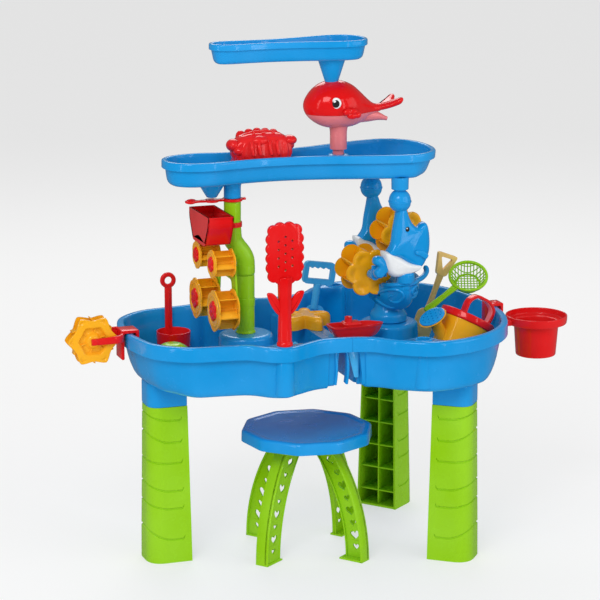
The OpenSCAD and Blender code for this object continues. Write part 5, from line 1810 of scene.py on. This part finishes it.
@dataclass
class WateringCan(Maker):
    """The yellow can with a red rim and handle, and a spout with a blue rose."""

    body: str = "watering_can"
    place: tuple = (194.0, -92.0, 315.0)

    def stand(self, shell: Shell) -> Shell:
        """The can's lean and its place."""
        return shell.turned("y", 30).turned("z", 15).moved(self.place)

    def spout(self, shell: Shell) -> Shell:
        """A shell drawn along Z, put along the spout."""
        return shell.turned("y", -62).moved((-28, 0, 20))

    def build(self) -> None:
        """The body, the embossed ring, the spout, the rose with its holes, the rim and the handle."""
        body = revolve([(0, 0, 0), (34, 0, 4), (36.4, 6, 2), (43, 58, 2), (43, 60, 0), (40.4, 60, 0),
                        (33.4, 6, 4), (0, 3, 0)], 80)
        self.put("can_body", self.stand(body), YELLOW, ("can_body",))
        mark = lathe_ring([(16, -0.6, 0), (16, 1.2, 0.8), (13.4, 1.2, 0.8), (13.4, -0.6, 0)], 56)
        mark = mark.turned("x", 90).turned("x", 6.6).moved((2, -39.8, 30))
        self.put("can_ring", self.stand(mark.turned("z", 8)), YELLOW)
        pipe = revolve([(0, 4, 0), (10.6, 4, 0), (9.6, 30, 2), (10, 36, 4), (23.4, 44, 3), (24, 45, 1),
                        (0, 45, 0)], 56)
        self.put("can_spout", self.stand(self.spout(pipe)), YELLOW)
        face = slab(circle(22, 64), 45.1, 48, 0.9)
        dots = [slab(circle(1.3, 10), 46, 50, 0.1, 2).moved((r * math.cos(b), r * math.sin(b), 0))
                for r, m in ((0.0, 1), (8.0, 6), (15.5, 12)) for b in full_turn(m)]
        rose = cut_holes(self.stand(self.spout(face)), [self.stand(self.spout(d)) for d in dots],
                         "can_rose")
        self.adopt("can_rose", rose, BLUE, ("can_rose",))
        rim = lathe_ring([(44, 58.6, 0.6), (46, 60, 1.4), (46, 71, 1.6), (38.6, 72, 1.2), (38.6, 70, 0.6),
                          (42.6, 69, 1.4), (42.6, 58.6, 0)], 80)
        half = np.linspace(-np.pi / 2, np.pi / 2, 40)
        lid_ring = np.stack([4 + 40 * np.cos(half) * 0.98, 44 * np.sin(half)], 1)
        lid = slab(np.vstack([lid_ring, [(4, 30), (4, -30)]]), 68.6, 71.8, 1)
        loop = curve_through([(-13, 0, 71), (-14, 0, 92), (-4, 0, 105), (12, 0, 107), (26, 0, 106),
                              (40, 0, 98), (42, 0, 84), (40, 0, 71)], 8, False)
        strap = round_corners([(-6.4, -2.4), (6.4, -2.4), (6.4, 2.4), (-6.4, 2.4)], 1.8)
        grip = self.band(loop, strap)
        self.put("can_rim", self.stand(join(rim, lid, grip)), RED, ("can_rim",))
        pad = self.band(loop * [0.9, 1, 0.955] + [1.2, 0, 3.0], strap * [0.72, 0.5])
        self.put("can_grip_pad", self.stand(pad), PINK)

    def band(self, path: Array, section: Array) -> Shell:
        """A flat strap whose width lies along Y and whose thickness is square to the path."""
        t = np.gradient(path, axis=0)
        t /= np.linalg.norm(t, axis=1, keepdims=True)
        out = np.stack([-t[:, 2], 0 * t[:, 0], t[:, 0]], 1)
        points = (path[:, None, :] + np.array([0, 1, 0]) * section[None, :, :1]
                  + out[:, None, :] * section[None, :, 1:])
        return grid(points)


# ---- the room ----

def studio() -> None:
    """The pale floor, the soft lights and the camera."""
    scene = bpy.context.scene
    scene.view_settings.view_transform = "Standard"
    floor = bpy.data.meshes.new("floor")
    r = 40.0
    floor.from_pydata([(-r, -r, 0), (r, -r, 0), (r, r, 0), (-r, r, 0)], [], [(0, 1, 2, 3)])
    paint = bpy.data.materials.new("floor_paint")
    paint.use_nodes = True
    shader = paint.node_tree.nodes["Principled BSDF"]
    shader.inputs["Base Color"].default_value = (0.4, 0.4, 0.4, 1)
    shader.inputs["Emission Color"].default_value = (1, 1, 1, 1)
    shader.inputs["Emission Strength"].default_value = 0.53
    shader.inputs["Roughness"].default_value = 0.9
    floor.materials.append(paint)
    ground = bpy.data.objects.new("floor", floor)
    ground.visible_glossy = False
    scene.collection.objects.link(ground)
    world = bpy.data.worlds.new("studio")
    world.use_nodes = True
    tree = world.node_tree
    sky = tree.nodes["Background"]
    sky.inputs["Color"].default_value = (1, 1, 1, 1)
    rays = tree.nodes.new("ShaderNodeLightPath")
    dimmed = tree.nodes.new("ShaderNodeMapRange")
    dimmed.inputs["To Min"].default_value = 0.6
    dimmed.inputs["To Max"].default_value = 0.16
    tree.links.new(rays.outputs["Is Glossy Ray"], dimmed.inputs["Value"])
    tree.links.new(dimmed.outputs["Result"], sky.inputs["Strength"])
    scene.world = world
    lights = (("key", (-1.6, -2.2, 2.4), (1.3, 1.3), 40.0), ("fill", (2.2, -1.8, 1.2), (1.8, 1.8), 14.0),
              ("back", (0.6, 2.2, 2.2), (1.5, 1.5), 20.0), ("left_strip", (-2.6, -1.5, 1.0), (0.3, 2.4), 8.0),
              ("right_strip", (1.1, -2.9, 1.0), (0.25, 2.4), 7.0))
    for name, at, size, power in lights:
        lamp = bpy.data.lights.new(name, "AREA")
        lamp.shape = "RECTANGLE"
        lamp.size, lamp.size_y = size
        lamp.energy = power
        holder = bpy.data.objects.new(name, lamp)
        holder.location = at
        aim = Vector((0, 0, 0.4)) - Vector(at)
        holder.rotation_euler = aim.to_track_quat("-Z", "Y").to_euler()
        scene.collection.objects.link(holder)
    eye = bpy.data.cameras.new("eye")
    eye.sensor_width = 36
    eye.lens = 153.1
    turn = math.radians(-20)
    spot = Vector((math.sin(turn) * 4, -math.cos(turn) * 4, 1.34))
    aim = Vector((-0.0273, 0.0099, 0.403)) - spot
    camera = bpy.data.objects.new("eye", eye)
    camera.location = spot
    camera.rotation_euler = aim.to_track_quat("-Z", "Y").to_euler()
    scene.collection.objects.link(camera)
    scene.camera = camera


def main() -> None:
    """Builds every sub-assembly, then the room."""
    studio()
    Basin().build()
    for name, place in zip(("left", "front", "back"), Basin.legs):
        Leg(name=name, place=place).build()
    MidTray().build()
    TopTray().build()
    Stool().build()
    LeftTower().build()
    Gate().build()
    small, large = (39.0, 484.0), (48.0, 411.0)
    for side, end in ENDS:
        WaterWheel(f"water_wheel_upper_{end}", f"upper_{end}", 23.0, 12.5, small, side).build()
        WaterWheel(f"water_wheel_lower_{end}", f"lower_{end}", 33.0, 16.5, large, side).build()
        Dolphin(side=side, end=end).build()
    FlowerWheel("upper_flower", "upper", (138.0, 0.0, 506.0)).build()
    FlowerWheel("lower_flower", "lower", (78.0, 0.0, 448.0)).build()
    WaveBase().build()
    Whale().build()
    CrabMould().build()
    RimWheel().build()
    Cup().build()
    FlowerShovel().build()
    SandToys().build()
    Sieve().build()
    WateringCan().build()
    for node in ("axle_upper", "axle_lower"):
        Maker("table").dress(node, STEEL)


if __name__ == "__main__":
    main()
